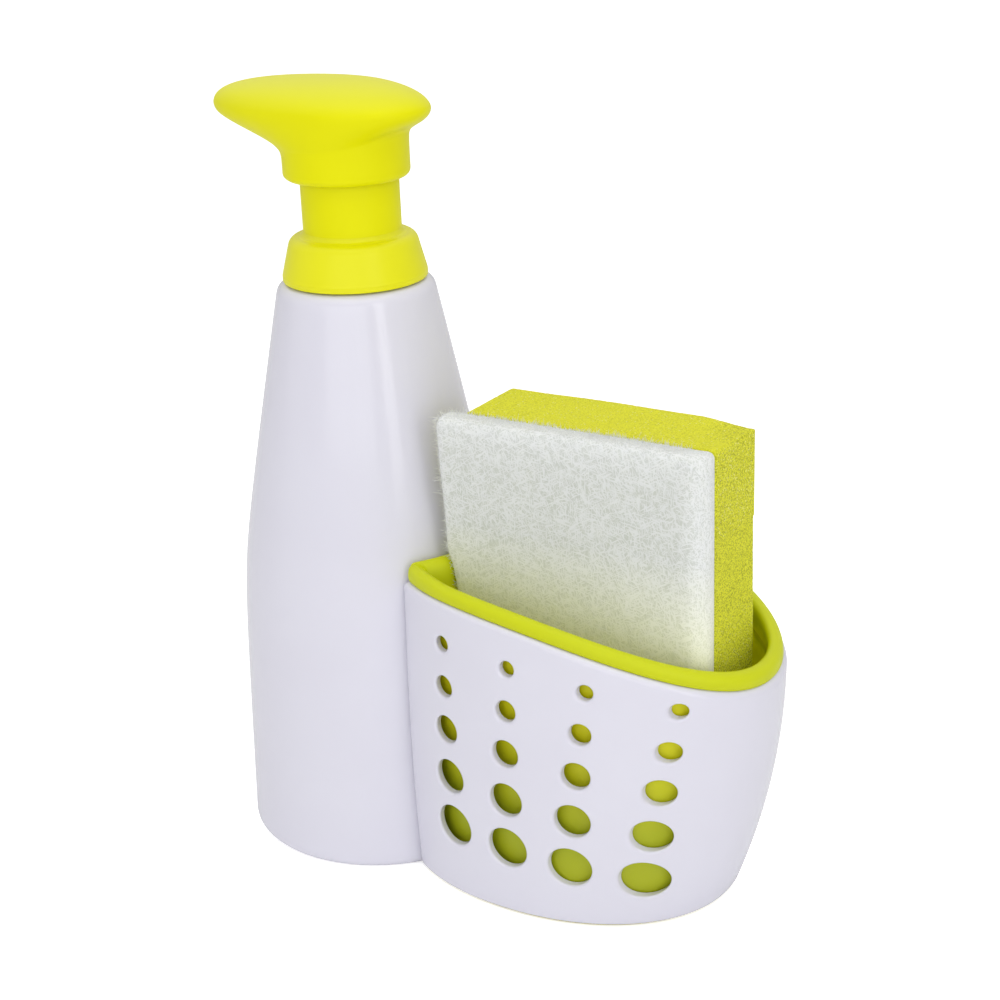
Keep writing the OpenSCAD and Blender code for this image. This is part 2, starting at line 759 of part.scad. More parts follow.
// Reach of the head's edge from the pump axis towards angle t, where 180 is the beak
function head_reach(t) =
    let (long = cos(t) < 0 ? beak_reach : head_back_reach)
    1 / sqrt(pow(cos(t) / long, 2) + pow(sin(t) / head_half_w, 2));

// Squareness of the crown's section, where 2 is an ellipse, and of the underside's, where 1
// is a straight slope, towards the beak and towards the back
crown_beak_power = 2.7;
crown_back_power = 1.7;
under_beak_power = 1.1;
under_back_power = 0.6;
function turned_to(t, beak, back) = back + (beak - back) * (1 - cos(t)) / 2;

// The underside leaves the skirt in a soft hollow. A level of it is a share of the way from
// the skirt to the edge; one of the crown is a pair of shares, outwards and upwards.
under_z0 = skirt_z + skirt_h;
under_level_shares = [0, 0.03, 0.08, 0.16, 0.28, 0.44, 0.62, 0.8, 0.92, 0.98];
hollow_depth_share = 0.15;
hollow_fade = 7.6;
function under_level_z(t, share) =
    let (m = turned_to(t, under_beak_power, under_back_power))
    under_z0 + (head_edge_z - under_z0) * (1 - pow(1 - pow(share, m), 1 / m))
        - hollow_depth_share * (head_reach(t) - skirt_r) * exp(-hollow_fade * share);
crown_shares = [
    [1, 0], [0.97, 0.24], [0.88, 0.47], [0.74, 0.67], [0.57, 0.82], [0.39, 0.92], [0.2, 1]];
head_steps = 44;
head_angles = [for (i = [0 : head_steps - 1]) 360 * i / head_steps];
function under_ring(share) =
    [for (t = head_angles)
        let (r = skirt_r + share * (head_reach(t) - skirt_r))
        [r * cos(t), r * sin(t), under_level_z(t, share)]];
function crown_ring(shares) =
    [for (t = head_angles)
        let (n = turned_to(t, crown_beak_power, crown_back_power),
             r = pow(shares[0], 2 / n) * head_reach(t))
        [r * cos(t), r * sin(t),
            head_edge_z + pow(shares[1], 2 / n) * (head_top_z - head_edge_z)]];
function skirt_ring(r, z) = [for (t = head_angles) [r * cos(t), r * sin(t), z]];

// Side view of the spout channel, drawn with the beak towards +X. Its lower face meets the
// underside of the beak along both of its sides.
tip_wall = 3.4;
channel_end = beak_reach - tip_wall;
channel_end_top_z = head_edge_z + 0.3 * head_edge_drop;
channel_start = skirt_r + press_gap;
function under_z(x) =
    let (t = 180 - atan2(spout_w / 2, x))
    under_level_z(t, (norm([x, spout_w / 2]) - skirt_r) / (head_reach(t) - skirt_r));

module spout_channel() {
    nozzle_setback = 4;
    nozzle_x = channel_end - nozzle_setback;
    nozzle_r = 0.42 * spout_w;
    nozzle_bore = 0.5 * channel_bore;
    socket_wall = 1.6;
    stem_socket_len = 7;
    socket_out_r = stem_r + socket_wall;
    socket_low_z = channel_z - stem_socket_len;
    rib_w = spout_w / 3;
    rib_start = sqrt(pow(skirt_in_r - seat_gap, 2) - pow(rib_w / 2, 2));
    rib_top_z = head_edge_z + 0.1 * head_edge_drop;
    web_steps = 9;
    color(lime) on_axis()
        rotate([0, 0, 180])
            difference() {
                union() {
                    translate([0, spout_w / 2, 0])
                        rotate([90, 0, 0])
                            linear_extrude(spout_w)
                                polygon(concat(
                                    [[0, channel_z], [channel_start, channel_z]],
                                    [for (i = [0 : web_steps])
                                        let (x = channel_start
                                            + (channel_end - channel_start)
                                                * pow(i / web_steps, 2))
                                        [x, under_z(x)]],
                                    [[channel_end, channel_end_top_z], [0, channel_top_z]]));
                    translate([0, 0, socket_low_z])
                        cylinder(r = socket_out_r, h = channel_top_z - socket_low_z);
                    translate([-rib_start, -rib_w / 2, channel_z])
                        cube([rib_start, rib_w, rib_top_z - channel_z]);
                    translate([nozzle_x, 0, under_z(nozzle_x) - rest_gap])
                        cylinder(r = nozzle_r, h = channel_bore, $fn = 48);
                }
                translate([0, 0, socket_low_z - over])
                    cylinder(r = stem_r + seat_gap, h = channel_z - socket_low_z + over);
                translate([0, 0, channel_z - over])
                    cylinder(r = channel_bore / 2, h = over + channel_h / 2);
                translate([0, -channel_bore / 2, channel_z + (channel_h - channel_bore) / 2])
                    cube([nozzle_x + nozzle_bore, channel_bore, channel_bore]);
                translate([nozzle_x, 0, skirt_z])
                    cylinder(r = nozzle_bore, h = channel_z + channel_h / 2 - skirt_z,
                        $fn = 48);
            }
}

module head_cover() {
    slot_gap = 0.2;
    ceiling = 2.1;
    skirt_round = 0.8 * skirt_wall;
    cavity_top = head_top_z - ceiling;
    color(lime) on_axis()
        difference() {
            skin(concat(
                [skirt_ring(skirt_r - skirt_round, skirt_z),
                    skirt_ring(skirt_r - 0.3 * skirt_round, skirt_z + 0.3 * skirt_round),
                    skirt_ring(skirt_r, skirt_z + skirt_round)],
                [for (share = under_level_shares) under_ring(share)],
                [for (shares = crown_shares) crown_ring(shares)]));
            rotate_extrude()
                polygon([
                    [0, skirt_z - over], [skirt_in_r, skirt_z - over],
                    [skirt_in_r, head_edge_z + 0.12 * head_edge_drop],
                    [0.82 * skirt_in_r, head_edge_z + 0.4 * head_edge_drop],
                    [0.45 * skirt_in_r, cavity_top - 0.06 * head_edge_drop],
                    [0, cavity_top]]);
            rotate([0, 0, 180])
                translate([0, spout_w / 2 + slot_gap, 0])
                    rotate([90, 0, 0])
                        linear_extrude(spout_w + 2 * slot_gap)
                            polygon([
                                [0, channel_z - slot_gap],
                                [channel_start - slot_gap, channel_z - slot_gap],
                                [channel_start - slot_gap, skirt_z],
                                [channel_end + slot_gap, skirt_z],
                                [channel_end + slot_gap, channel_end_top_z + slot_gap],
                                [0, channel_top_z + slot_gap]]);
        }
}

bottle();
basket_shell();
basket_foot();
liner();
sponge_foam();
scour_pad();
collar();
guide_sleeve();
pump_barrel();
neck_gasket();
dip_tube();
inlet_ball();
return_spring();
piston();
valve_rod();
stem();
outlet_ball();
spout_channel();
head_cover();
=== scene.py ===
import math

import bmesh
import bpy
import numpy as np
from mathutils import Matrix, Vector


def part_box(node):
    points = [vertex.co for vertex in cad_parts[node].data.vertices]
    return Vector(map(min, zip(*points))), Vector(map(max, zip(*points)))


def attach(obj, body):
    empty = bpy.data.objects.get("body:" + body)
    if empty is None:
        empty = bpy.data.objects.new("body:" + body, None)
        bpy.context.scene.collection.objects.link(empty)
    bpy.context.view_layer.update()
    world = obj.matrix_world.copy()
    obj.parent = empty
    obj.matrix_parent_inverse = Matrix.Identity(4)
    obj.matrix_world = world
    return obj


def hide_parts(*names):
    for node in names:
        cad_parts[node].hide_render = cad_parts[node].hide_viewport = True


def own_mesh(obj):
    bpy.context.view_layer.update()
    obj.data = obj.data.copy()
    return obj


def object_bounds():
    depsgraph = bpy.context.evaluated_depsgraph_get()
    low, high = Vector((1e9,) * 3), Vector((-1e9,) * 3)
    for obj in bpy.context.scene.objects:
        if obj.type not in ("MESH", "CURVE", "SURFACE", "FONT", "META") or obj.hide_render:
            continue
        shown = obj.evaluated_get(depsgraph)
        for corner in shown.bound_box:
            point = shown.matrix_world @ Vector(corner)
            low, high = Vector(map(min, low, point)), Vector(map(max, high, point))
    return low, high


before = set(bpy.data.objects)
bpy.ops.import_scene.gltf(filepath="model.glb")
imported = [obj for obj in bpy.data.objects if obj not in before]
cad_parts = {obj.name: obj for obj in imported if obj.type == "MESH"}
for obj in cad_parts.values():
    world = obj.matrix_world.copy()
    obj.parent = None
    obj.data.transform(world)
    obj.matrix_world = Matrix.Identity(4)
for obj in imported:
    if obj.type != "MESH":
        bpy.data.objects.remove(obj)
cad_low, cad_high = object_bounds()

# Camera
# The photo is taken from in front of the basket's long side, a little above the pump, with
# a long lens. The camera's place is given from the foot of the pump's axis.
MM = 0.001
AXIS_X = (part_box("collar")[0].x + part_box("collar")[1].x) / 2 / MM
CAMERA_PLACE = Vector((301.4 + AXIS_X, -414.9, 291.7)) * MM
CAMERA_YAW = math.radians(31.83)
CAMERA_DIP = math.radians(20.94)
CAMERA_ROLL = math.radians(-2.28)
SENSOR = 36
LENS = 68.4

camera = bpy.data.objects.new("camera", bpy.data.cameras.new("camera"))
bpy.context.scene.collection.objects.link(camera)
camera.data.sensor_width = SENSOR
camera.data.lens = LENS
camera.matrix_world = (
    Matrix.Translation(CAMERA_PLACE)
    @ Matrix.Rotation(CAMERA_YAW, 4, "Z")
    @ Matrix.Rotation(math.pi / 2 - CAMERA_DIP, 4, "X")
    @ Matrix.Rotation(CAMERA_ROLL, 4, "Z")
)
bpy.context.scene.camera = camera
bpy.context.scene.view_settings.view_transform = "Standard"

# Counter and light
# A white sweep, white wherever the camera or a reflection sees it. A softbox overhead, a wide
# fill in front, a tall strip on the right and a weak box on the left light the piece softly.


class Wire:
    """A value in a material's node tree. Arithmetic on it adds Math nodes to the tree."""

    def __init__(self, look, socket):
        self.look = look
        self.socket = socket

    def math(self, operation, first, second, clamp=False):
        return self.look.node(
            "Math", {"operation": operation, "use_clamp": clamp}, {0: first, 1: second})

    def __add__(self, other):
        return self.math("ADD", self, other)

    def __sub__(self, other):
        return self.math("SUBTRACT", self, other)

    def __mul__(self, other):
        return self.math("MULTIPLY", self, other)

    def __radd__(self, other):
        return self.math("ADD", other, self)

    def __rsub__(self, other):
        return self.math("SUBTRACT", other, self)

    def __rmul__(self, other):
        return self.math("MULTIPLY", other, self)

    def clip(self):
        """The value, held between 0 and 1."""
        return self.math("ADD", self, 0.0, clamp=True)

    def rise(self, start, rate):
        """A mask that leaves 0 at start and grows by rate, or from below by a rate under 0."""
        return ((self - start) * rate).clip()

    def larger(self, other):
        """The larger of two values."""
        return self.math("MAXIMUM", self, other)


class Look:
    """A material in the making: its node tree, its main shader and the nodes that feed it."""

    def __init__(self, name, tree=None):
        if tree is None:
            self.material = bpy.data.materials.new(name)
            self.material.use_nodes = True
            tree = self.material.node_tree
        self.tree = tree
        self.shader = tree.nodes.get("Principled BSDF")

    def feed(self, socket, value):
        """Links a value to a socket, or sets the socket to a plain number or colour."""
        if isinstance(value, Wire):
            self.tree.links.new(value.socket, socket)
        else:
            socket.default_value = value

    def node(self, kind, settings, sockets, output=0):
        """Adds a node, its settings first and then the values or links of its sockets."""
        made = self.tree.nodes.new("ShaderNode" + kind)
        for key, value in settings.items():
            setattr(made, key, value)
        for key, value in sockets.items():
            self.feed(made.inputs[key], value)
        return Wire(self, made.outputs[output])

    def place(self):
        """The place on the piece, in metres."""
        return self.node("TexCoord", {}, {}, "Object")

    def along(self, axis):
        """The place along one axis, in metres."""
        return self.node("SeparateXYZ", {}, {"Vector": self.place()}, axis)

    def stretched(self, scale):
        """Places scaled along each axis. A scale below 1 draws a pattern out along its axis."""
        return self.node("Mapping", {}, {"Vector": self.place(), "Scale": scale})

    def noise(self, size, detail=2.0, roughness=0.5, vector=None):
        """Soft cloud noise from 0 to 1, with lumps about size metres across."""
        sockets = {"Vector": vector or self.place(), "Scale": 1 / size, "Detail": detail,
                   "Roughness": roughness}
        return self.node("TexNoise", {}, sockets, "Fac")

    def mix(self, share, first, second):
        """A colour that is first where share is 0 and second where it is 1."""
        sockets = {0: share, 6: first, 7: second}
        return self.node("Mix", {"data_type": "RGBA"}, sockets, 2)

    def bump(self, height, depth):
        """Normals of a relief whose height from 0 to 1 stands for depth metres."""
        sockets = {"Height": height, "Distance": depth, "Strength": 1.0}
        return self.node("Bump", {}, sockets, "Normal")

    def lit_through(self, weight, reach, scale):
        """Lets light into the surface, to come out again at up to reach times scale metres."""
        self.set(Subsurface_Weight=weight, Subsurface_Radius=reach, Subsurface_Scale=scale)

    def set(self, **sockets):
        """Feeds sockets of the main shader, named with _ for a space, and gives the material."""
        for key, value in sockets.items():
            self.feed(self.shader.inputs[key.replace("_", " ")], value)
        return self.material


def rgb(red, green, blue):
    """A colour given as it looks on screen, from 0 to 255, as the linear colour it means."""
    shares = np.array([red, green, blue]) / 255
    linear = np.where(shares <= 0.04045, shares / 12.92, ((shares + 0.055) / 1.055) ** 2.4)
    return (*[float(value) for value in linear], 1.0)


WORLD_FILL = 0.59
SHINE_ABOVE, SHINE_LEVEL = 1.5, 0.5
WHITE = (1.0, 1.0, 1.0, 1.0)
world = bpy.data.worlds.new("studio")
bpy.context.scene.world = world
world.use_nodes = True
sky = Look("studio", world.node_tree)
seen, through, mirrored = (
    sky.node("LightPath", {}, {}, f"Is {ray} Ray") for ray in ("Camera", "Transmission", "Glossy"))
backdrop = seen.larger(through)
aloft = sky.node("SeparateXYZ", {}, {"Vector": sky.node("TexCoord", {}, {}, "Generated")}, "Z")
shine = SHINE_LEVEL + aloft.clip() * (SHINE_ABOVE - SHINE_LEVEL)
level = WORLD_FILL + mirrored * (shine - WORLD_FILL)
background = world.node_tree.nodes["Background"]
sky.feed(background.inputs["Color"], WHITE)
sky.feed(background.inputs["Strength"], backdrop + (1 - backdrop) * level)

# Lamps as place, width and height, and power, all facing the middle of the caddy
LAMPS = {
    "top_box": ((0.10, -0.10, 0.95), (0.9, 0.9), 2.1),
    "right_strip": ((0.75, -0.35, 0.45), (0.22, 0.7), 1.05),
    "left_box": ((-0.70, -0.55, 0.40), (0.5, 0.7), 0.27),
    "front_fill": ((0.26, -0.86, 0.40), (1.0, 0.5), 1.6),
}
for name, (place, size, power) in LAMPS.items():
    lamp = bpy.data.lights.new(name, "AREA")
    lamp.shape = "RECTANGLE"
    lamp.size, lamp.size_y = size
    lamp.energy = power
    holder = bpy.data.objects.new(name, lamp)
    bpy.context.scene.collection.objects.link(holder)
    aim = (cad_low + cad_high) / 2 - Vector(place)
    facing = aim.to_track_quat("-Z", "Y").to_matrix().to_4x4()
    holder.matrix_world = Matrix.Translation(Vector(place)) @ facing

FLOOR_HALF, FLOOR_DROP, FLOOR_GLOW = 3.0, 0.0002, 0.55
floor_corners = np.array([(-1, -1), (1, -1), (1, 1), (-1, 1)]) * FLOOR_HALF
floor_mesh = bpy.data.meshes.new("floor")
floor_mesh.from_pydata([(x, y, -FLOOR_DROP) for x, y in floor_corners], [], [(0, 1, 2, 3)])
floor = bpy.data.objects.new("floor", floor_mesh)
bpy.context.scene.collection.objects.link(floor)
sweep = Look("white_sweep")
sweep.set(Base_Color=rgb(254, 254, 254), Roughness=0.9)
painted = Wire(sweep, sweep.shader.outputs[0])
glow = sweep.node("Emission", {}, {"Color": WHITE, "Strength": FLOOR_GLOW}, "Emission")
both = sweep.node("AddShader", {}, {0: painted, 1: glow})
seen_floor = sweep.node("LightPath", {}, {}, "Is Camera Ray")
blend = sweep.node("MixShader", {}, {0: seen_floor, 1: painted, 2: both})
sweep.feed(sweep.tree.nodes["Material Output"].inputs["Surface"], blend)
floor_mesh.materials.append(sweep.material)

# Bottle
# A tapered round bottle of glossy white plastic, blow moulded in one piece with its ringed
# foot and its threaded neck. It is a closed turned shell with a wall all round.
BASE_R, BEND_Z, BEND_R, BEND_CUT = 40.4, 82.5, 38.0, 1.3
SHOULDER_Z, SHOULDER_R, SHOULDER_ROUND = 163.3, 21.6, 3.6
FOOT_ROUND, FOOT_W, PUSH_UP, BOTTLE_WALL = 2.2, 4.0, 3.0, 1.8
NECK_R, NECK_H, NECK_IN_R = 15.6, 7.7, 13.6
THREAD_H, THREAD_PITCH, THREAD_TURNS, THREAD_START = 0.9, 3.2, 1.25, 1.9
# Half width of a thread's ridge, width of its slope in shares of the pitch, and how fast it fades
RIDGE_HALF, RIDGE_SLOPE, RIDGE_FADE = 0.30, 0.14, 12
TURN_STEPS = 192


def faces_of(rows, columns, wrap_rows, wrap_columns):
    """Corner numbers of the quads of a grid, whose rows or columns may close on themselves."""
    j = np.arange(rows if wrap_rows else rows - 1)[:, None]
    i = np.arange(columns if wrap_columns else columns - 1)[None, :]
    j2, i2 = (j + 1) % rows, (i + 1) % columns
    corners = [j * columns + i, j * columns + i2, j2 * columns + i2, j2 * columns + i]
    return np.stack(corners, axis=-1).reshape(-1, 4)


def make_piece(name, sheets, material, body, nodes=(), sharp=38, merge=1e-4):
    """A mesh from sheets of points in millimetres round the pump axis. A sheet is (points,
    rows close, columns close), and points may hold several grids, as (..., rows, columns, 3).
    Points closer than merge are joined, which closes seams and poles, faces are turned
    outwards, and edges over sharp degrees stay hard."""
    all_points, all_faces, start = [], [], 0
    for points, wrap_rows, wrap_columns in sheets:
        grids = np.asarray(points, float).reshape(-1, *points.shape[-3:])
        count, rows, columns = grids.shape[:3]
        quads = faces_of(rows, columns, wrap_rows, wrap_columns)
        offsets = start + np.arange(count)[:, None, None] * rows * columns
        all_points.append(grids.reshape(-1, 3))
        all_faces.append((quads[None] + offsets).reshape(-1, 4))
        start += count * rows * columns
    points = np.concatenate(all_points) * MM + np.array([AXIS_X * MM, 0, 0])
    quads = np.concatenate(all_faces)
    mesh = bpy.data.meshes.new(name)
    mesh.vertices.add(len(points))
    mesh.vertices.foreach_set("co", points.astype(np.float32).ravel())
    mesh.loops.add(quads.size)
    mesh.loops.foreach_set("vertex_index", quads.astype(np.int32).ravel())
    mesh.polygons.add(len(quads))
    mesh.polygons.foreach_set("loop_start", np.arange(0, quads.size, 4, dtype=np.int32))
    mesh.update(calc_edges=True)
    if merge:
        work = bmesh.new()
        work.from_mesh(mesh)
        bmesh.ops.remove_doubles(work, verts=work.verts, dist=merge * MM)
        bmesh.ops.dissolve_degenerate(work, edges=work.edges, dist=merge * MM)
        bmesh.ops.recalc_face_normals(work, faces=work.faces)
        work.to_mesh(mesh)
        work.free()
    mesh.shade_smooth()
    mesh.set_sharp_from_angle(angle=math.radians(sharp))
    mesh.materials.append(material)
    piece = bpy.data.objects.new(name, mesh)
    bpy.context.scene.collection.objects.link(piece)
    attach(piece, body)
    if nodes:
        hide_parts(*nodes)
    return piece


def rounded(corners, steps=6):
    """An outline through corners (r, z, radius): each corner with a radius becomes an arc
    that touches both of its sides."""
    corners = np.asarray(corners, float)
    out = [corners[:1, :2]]
    for before, corner, after in zip(corners[:-2], corners[1:-1], corners[2:]):
        if corner[2] == 0:
            out.append(corner[None, :2])
            continue
        back = before[:2] - corner[:2]
        ahead = after[:2] - corner[:2]
        back = back / np.hypot(*back)
        ahead = ahead / np.hypot(*ahead)
        half = np.arccos(np.clip(back @ ahead, -1, 1)) / 2
        reach = corner[2] / np.tan(half)
        centre = corner[:2] + (back + ahead) / np.hypot(*(back + ahead)) * corner[2] / np.sin(half)
        first = corner[:2] + back * reach - centre
        last = corner[:2] + ahead * reach - centre
        turn = np.arctan2(first[0] * last[1] - first[1] * last[0], first @ last)
        angles = turn * np.linspace(0, 1, steps)
        cos, sin = np.cos(angles)[:, None], np.sin(angles)[:, None]
        out.append(centre + first * cos + np.array([-first[1], first[0]]) * sin)
    out.append(corners[-1:, :2])
    return np.concatenate(out)


def turned(outline, steps=TURN_STEPS):
    """The surface that an outline of (r, z) sweeps once round the pump axis."""
    turn = np.linspace(0, 2 * np.pi, steps, endpoint=False)
    r, z = outline[:, 0, None], outline[:, 1, None]
    return np.stack([r * np.cos(turn), r * np.sin(turn), z + 0 * turn], axis=-1)


def bottle_r(z):
    """The bottle's radius at a height: two straight lines joined by a soft turn."""
    lower = BASE_R + (BEND_R - BASE_R) * z / BEND_Z
    upper = BEND_R + (SHOULDER_R - BEND_R) * (z - BEND_Z) / (SHOULDER_Z - BEND_Z)
    return (lower + upper) / 2 - np.sqrt(((lower - upper) / 2) ** 2 + BEND_CUT ** 2)


def column(r, z):
    """Corners without rounding, one for each r and z."""
    return np.stack([r + 0 * z, z + 0 * r, 0 * r + 0 * z], axis=-1)


def threaded(points, low, height):
    """Moves the points of a turned surface out by a height, or in by one below 0, along a
    screw thread: the ridge climbs one pitch a turn from low, and fades in and out."""
    x, y, z = points[..., 0], points[..., 1], points[..., 2]
    turn = np.arctan2(y, x) / (2 * np.pi) % 1
    climb = (z - low) / THREAD_PITCH
    along = np.round(climb - turn) + turn
    off = np.abs(climb - along)
    crest = np.clip((RIDGE_HALF - off) / RIDGE_SLOPE, 0, 1)
    ends = np.clip(along * RIDGE_FADE, 0, 1) * np.clip(
        (THREAD_TURNS - along) * RIDGE_FADE, 0, 1)
    grow = 1 + height * crest * ends / np.maximum(np.hypot(x, y), 1)
    return np.stack([x * grow, y * grow, z], axis=-1)


side_z = np.linspace(FOOT_ROUND + 2, SHOULDER_Z - SHOULDER_ROUND - 2, 90)
stand_r = BASE_R - FOOT_ROUND - FOOT_W
neck_root_r = NECK_R - THREAD_H
neck_z = np.linspace(SHOULDER_Z + 1, SHOULDER_Z + NECK_H - 0.6, 40)
bottle_outside = np.concatenate([
    [(0, PUSH_UP, 0), (stand_r - PUSH_UP, PUSH_UP, 2), (stand_r, 0, 0.9), (bottle_r(0), 0, FOOT_ROUND)],
    column(bottle_r(side_z), side_z),
    [(bottle_r(SHOULDER_Z), SHOULDER_Z, SHOULDER_ROUND), (neck_root_r, SHOULDER_Z, 0.7)],
    column(neck_root_r, neck_z),
    [(neck_root_r, SHOULDER_Z + NECK_H, 0.4), (NECK_IN_R, SHOULDER_Z + NECK_H, 0.3)],
    [(NECK_IN_R, SHOULDER_Z - BOTTLE_WALL, 1)],
    column(bottle_r(side_z[::-1]) - BOTTLE_WALL, side_z[::-1]),
    [(bottle_r(0) - BOTTLE_WALL, BOTTLE_WALL, 1), (stand_r, BOTTLE_WALL, 0.9)],
    [(stand_r - PUSH_UP, PUSH_UP + BOTTLE_WALL, 2), (0, PUSH_UP + BOTTLE_WALL, 0)],
])
bottle_points = turned(rounded(bottle_outside))
on_neck = (bottle_points[..., 2] > SHOULDER_Z + 0.9) & (
    np.hypot(bottle_points[..., 0], bottle_points[..., 1]) > neck_root_r - 0.01)
bottle_points = np.where(
    on_neck[..., None], threaded(bottle_points, SHOULDER_Z + THREAD_START, THREAD_H), bottle_points)

# Two lugs on the bottle carry the basket. They stand in its saddle wall, out of sight.
LUG_W, LUG_H, LUG_OUT, LUG_IN, LUG_ROUND = 12.0, 7.0, 1.85, 0.9, 0.4
RIM_HIGH = 87.0
LUG_SHARES = (0.26, 0.72)


def rounded_box(low, high, radius, spacing):
    """Six sheets over the faces of a box, with all its edges rounded to a radius: a point of
    the box is drawn to the nearest point of the box that is smaller by the radius all round,
    and set one radius off from there."""
    low, high = np.asarray(low, float), np.asarray(high, float)
    inner_low, inner_high = low + radius, high - radius
    sheets = []
    for axis in range(3):
        others = [a for a in range(3) if a != axis]
        counts = [max(4, int(round((high[a] - low[a]) / spacing)) + 1) for a in others]
        first, second = np.meshgrid(
            *[np.linspace(low[a], high[a], n) for a, n in zip(others, counts)], indexing="ij")
        for side in (low, high):
            points = np.zeros((*first.shape, 3))
            points[..., others[0]] = first
            points[..., others[1]] = second
            points[..., axis] = side[axis]
            core = np.clip(points, inner_low, inner_high)
            out = points - core
            out /= np.linalg.norm(out, axis=-1, keepdims=True)
            sheets.append((core + out * radius, False, False))
    return sheets


lug_sheets = []
for share in LUG_SHARES:
    lug_z = share * RIM_HIGH
    lug_x = bottle_r(lug_z)
    lug_sheets += rounded_box(
        (lug_x - LUG_IN, -LUG_W / 2, lug_z - LUG_H / 2),
        (lug_x + LUG_OUT, LUG_W / 2, lug_z + LUG_H / 2), LUG_ROUND, 0.4)

gloss = Look("gloss_white_plastic")
mottle = gloss.noise(0.03, 3.0)
peel = gloss.noise(0.0016, 1.0)
scuffs = gloss.noise(0.0009, 4.0, 0.7, gloss.stretched((1, 1, 0.25)))
white_plastic = gloss.set(
    Base_Color=gloss.mix(mottle, rgb(221, 219, 231), rgb(226, 225, 236)),
    Roughness=0.11 + 0.05 * mottle + 0.04 * scuffs,
    Normal=gloss.bump(peel, 0.000012),
    Specular_IOR_Level=0.5,
)
make_piece(
    "bottle_shell", [(bottle_points, False, True)] + lug_sheets, white_plastic,
    "root", ["bottle"])

# Collar
# The screw collar that clamps the pump on the neck, moulded in matt lime plastic. A turned
# ring with a leaning side, a soft top edge with a cove to the sleeve, and a thread inside.
COLLAR_R, COLLAR_H, COLLAR_TAPER, COLLAR_ROUND = 20.0, 12.1, 2.7, 2.8
COLLAR_BAND, COLLAR_GAP, COLLAR_BORE_R = 1.6, 0.4, 16.0
SLEEVE_R, SLEEVE_WALL, SLEEVE_RISE = 13.5, 1.5, 19.2
COVE_W, COVE_H = 1.4, 1.5
GASKET_H, FLANGE_H, SLEEVE_FOOT_H = 0.8, 1.2, 1.0
# Gaps between parts that slide on each other and between parts that rest on each other
SLIDE_GAP, REST_GAP = 0.06, 0.03
collar_z = SHOULDER_Z + COLLAR_GAP
collar_top_z = collar_z + COLLAR_H
neck_top_z = SHOULDER_Z + NECK_H
gasket_top_z = neck_top_z + GASKET_H
flange_top_z = gasket_top_z + FLANGE_H
foot_top_z = flange_top_z + SLEEVE_FOOT_H
collar_in_r, collar_in_z = SLEEVE_R + 0.02, foot_top_z + SLIDE_GAP
collar_root_r = COLLAR_BORE_R + THREAD_H
inside_z = np.linspace(foot_top_z - 1, collar_z + 1, 40)
collar_outline = np.concatenate([
    [(collar_in_r, collar_in_z, 0), (collar_in_r, collar_top_z + COVE_H, 0),
     (SLEEVE_R + 0.4 * COVE_W, collar_top_z + 0.27 * COVE_H, 0.7),
     (SLEEVE_R + COVE_W, collar_top_z, 0.5),
     (COLLAR_R - COLLAR_TAPER, collar_top_z, COLLAR_ROUND),
     (COLLAR_R, collar_z + COLLAR_BAND, 1.2), (COLLAR_R, collar_z, 0.35),
     (collar_root_r, collar_z, 0.3)],
    column(collar_root_r, inside_z[::-1]),
    [(collar_root_r, collar_in_z, 0.2), (collar_in_r, collar_in_z, 0)],
])
collar_points = turned(rounded(collar_outline, 8))
in_collar = (collar_points[..., 2] < foot_top_z - 0.9) & (
    np.hypot(collar_points[..., 0], collar_points[..., 1]) < collar_root_r + 0.01)
collar_points = np.where(
    in_collar[..., None],
    threaded(collar_points, SHOULDER_Z + THREAD_START + THREAD_PITCH / 2, -THREAD_H), collar_points)


def lime_look(name, dark, light, specular):
    """Grained lime plastic that light enters a little: the look, its tone and its grain."""
    look = Look(name)
    tone = look.mix(look.noise(0.02, 2.0), dark, light)
    grain = look.noise(0.00035, 2.0, 0.6)
    look.lit_through(0.12, (0.004, 0.004, 0.001), 0.5)
    look.set(Normal=look.bump(grain, 0.00002), Specular_IOR_Level=specular)
    return look, tone, grain


matt, tone, grain = lime_look("matt_lime_plastic", rgb(232, 229, 0), rgb(237, 234, 0), 0.35)
collar_plastic = matt.set(Base_Color=tone, Roughness=0.36 + 0.08 * grain)
make_piece(
    "screw_collar", [(collar_points, False, True)], collar_plastic,
    "closure", ["collar"])

# Guide sleeve
# The satin lime tube that stands on the pump's flange and guides the head's skirt. It has a
# round upper edge and a small boss inside that steadies the stem.
STEM_R, FLANGE_R, BOSS_H = 3.6, 15.2, 6
# Height in metres from which the top of the head is painted paler, a painted sheen of the lamp
# overhead, and how quickly it gets so
SHEEN_Z, SHEEN_RATE = 0.2105, 220
sleeve_top_z = collar_top_z + SLEEVE_RISE
boss_r = STEM_R + SLEEVE_WALL


def turned_piece(name, corners, steps, material, body, node):
    """A piece whose outline, through corners with their rounding, is turned round the axis."""
    sheets = [(turned(rounded(corners), steps), False, True)]
    return make_piece(name, sheets, material, body, [node])


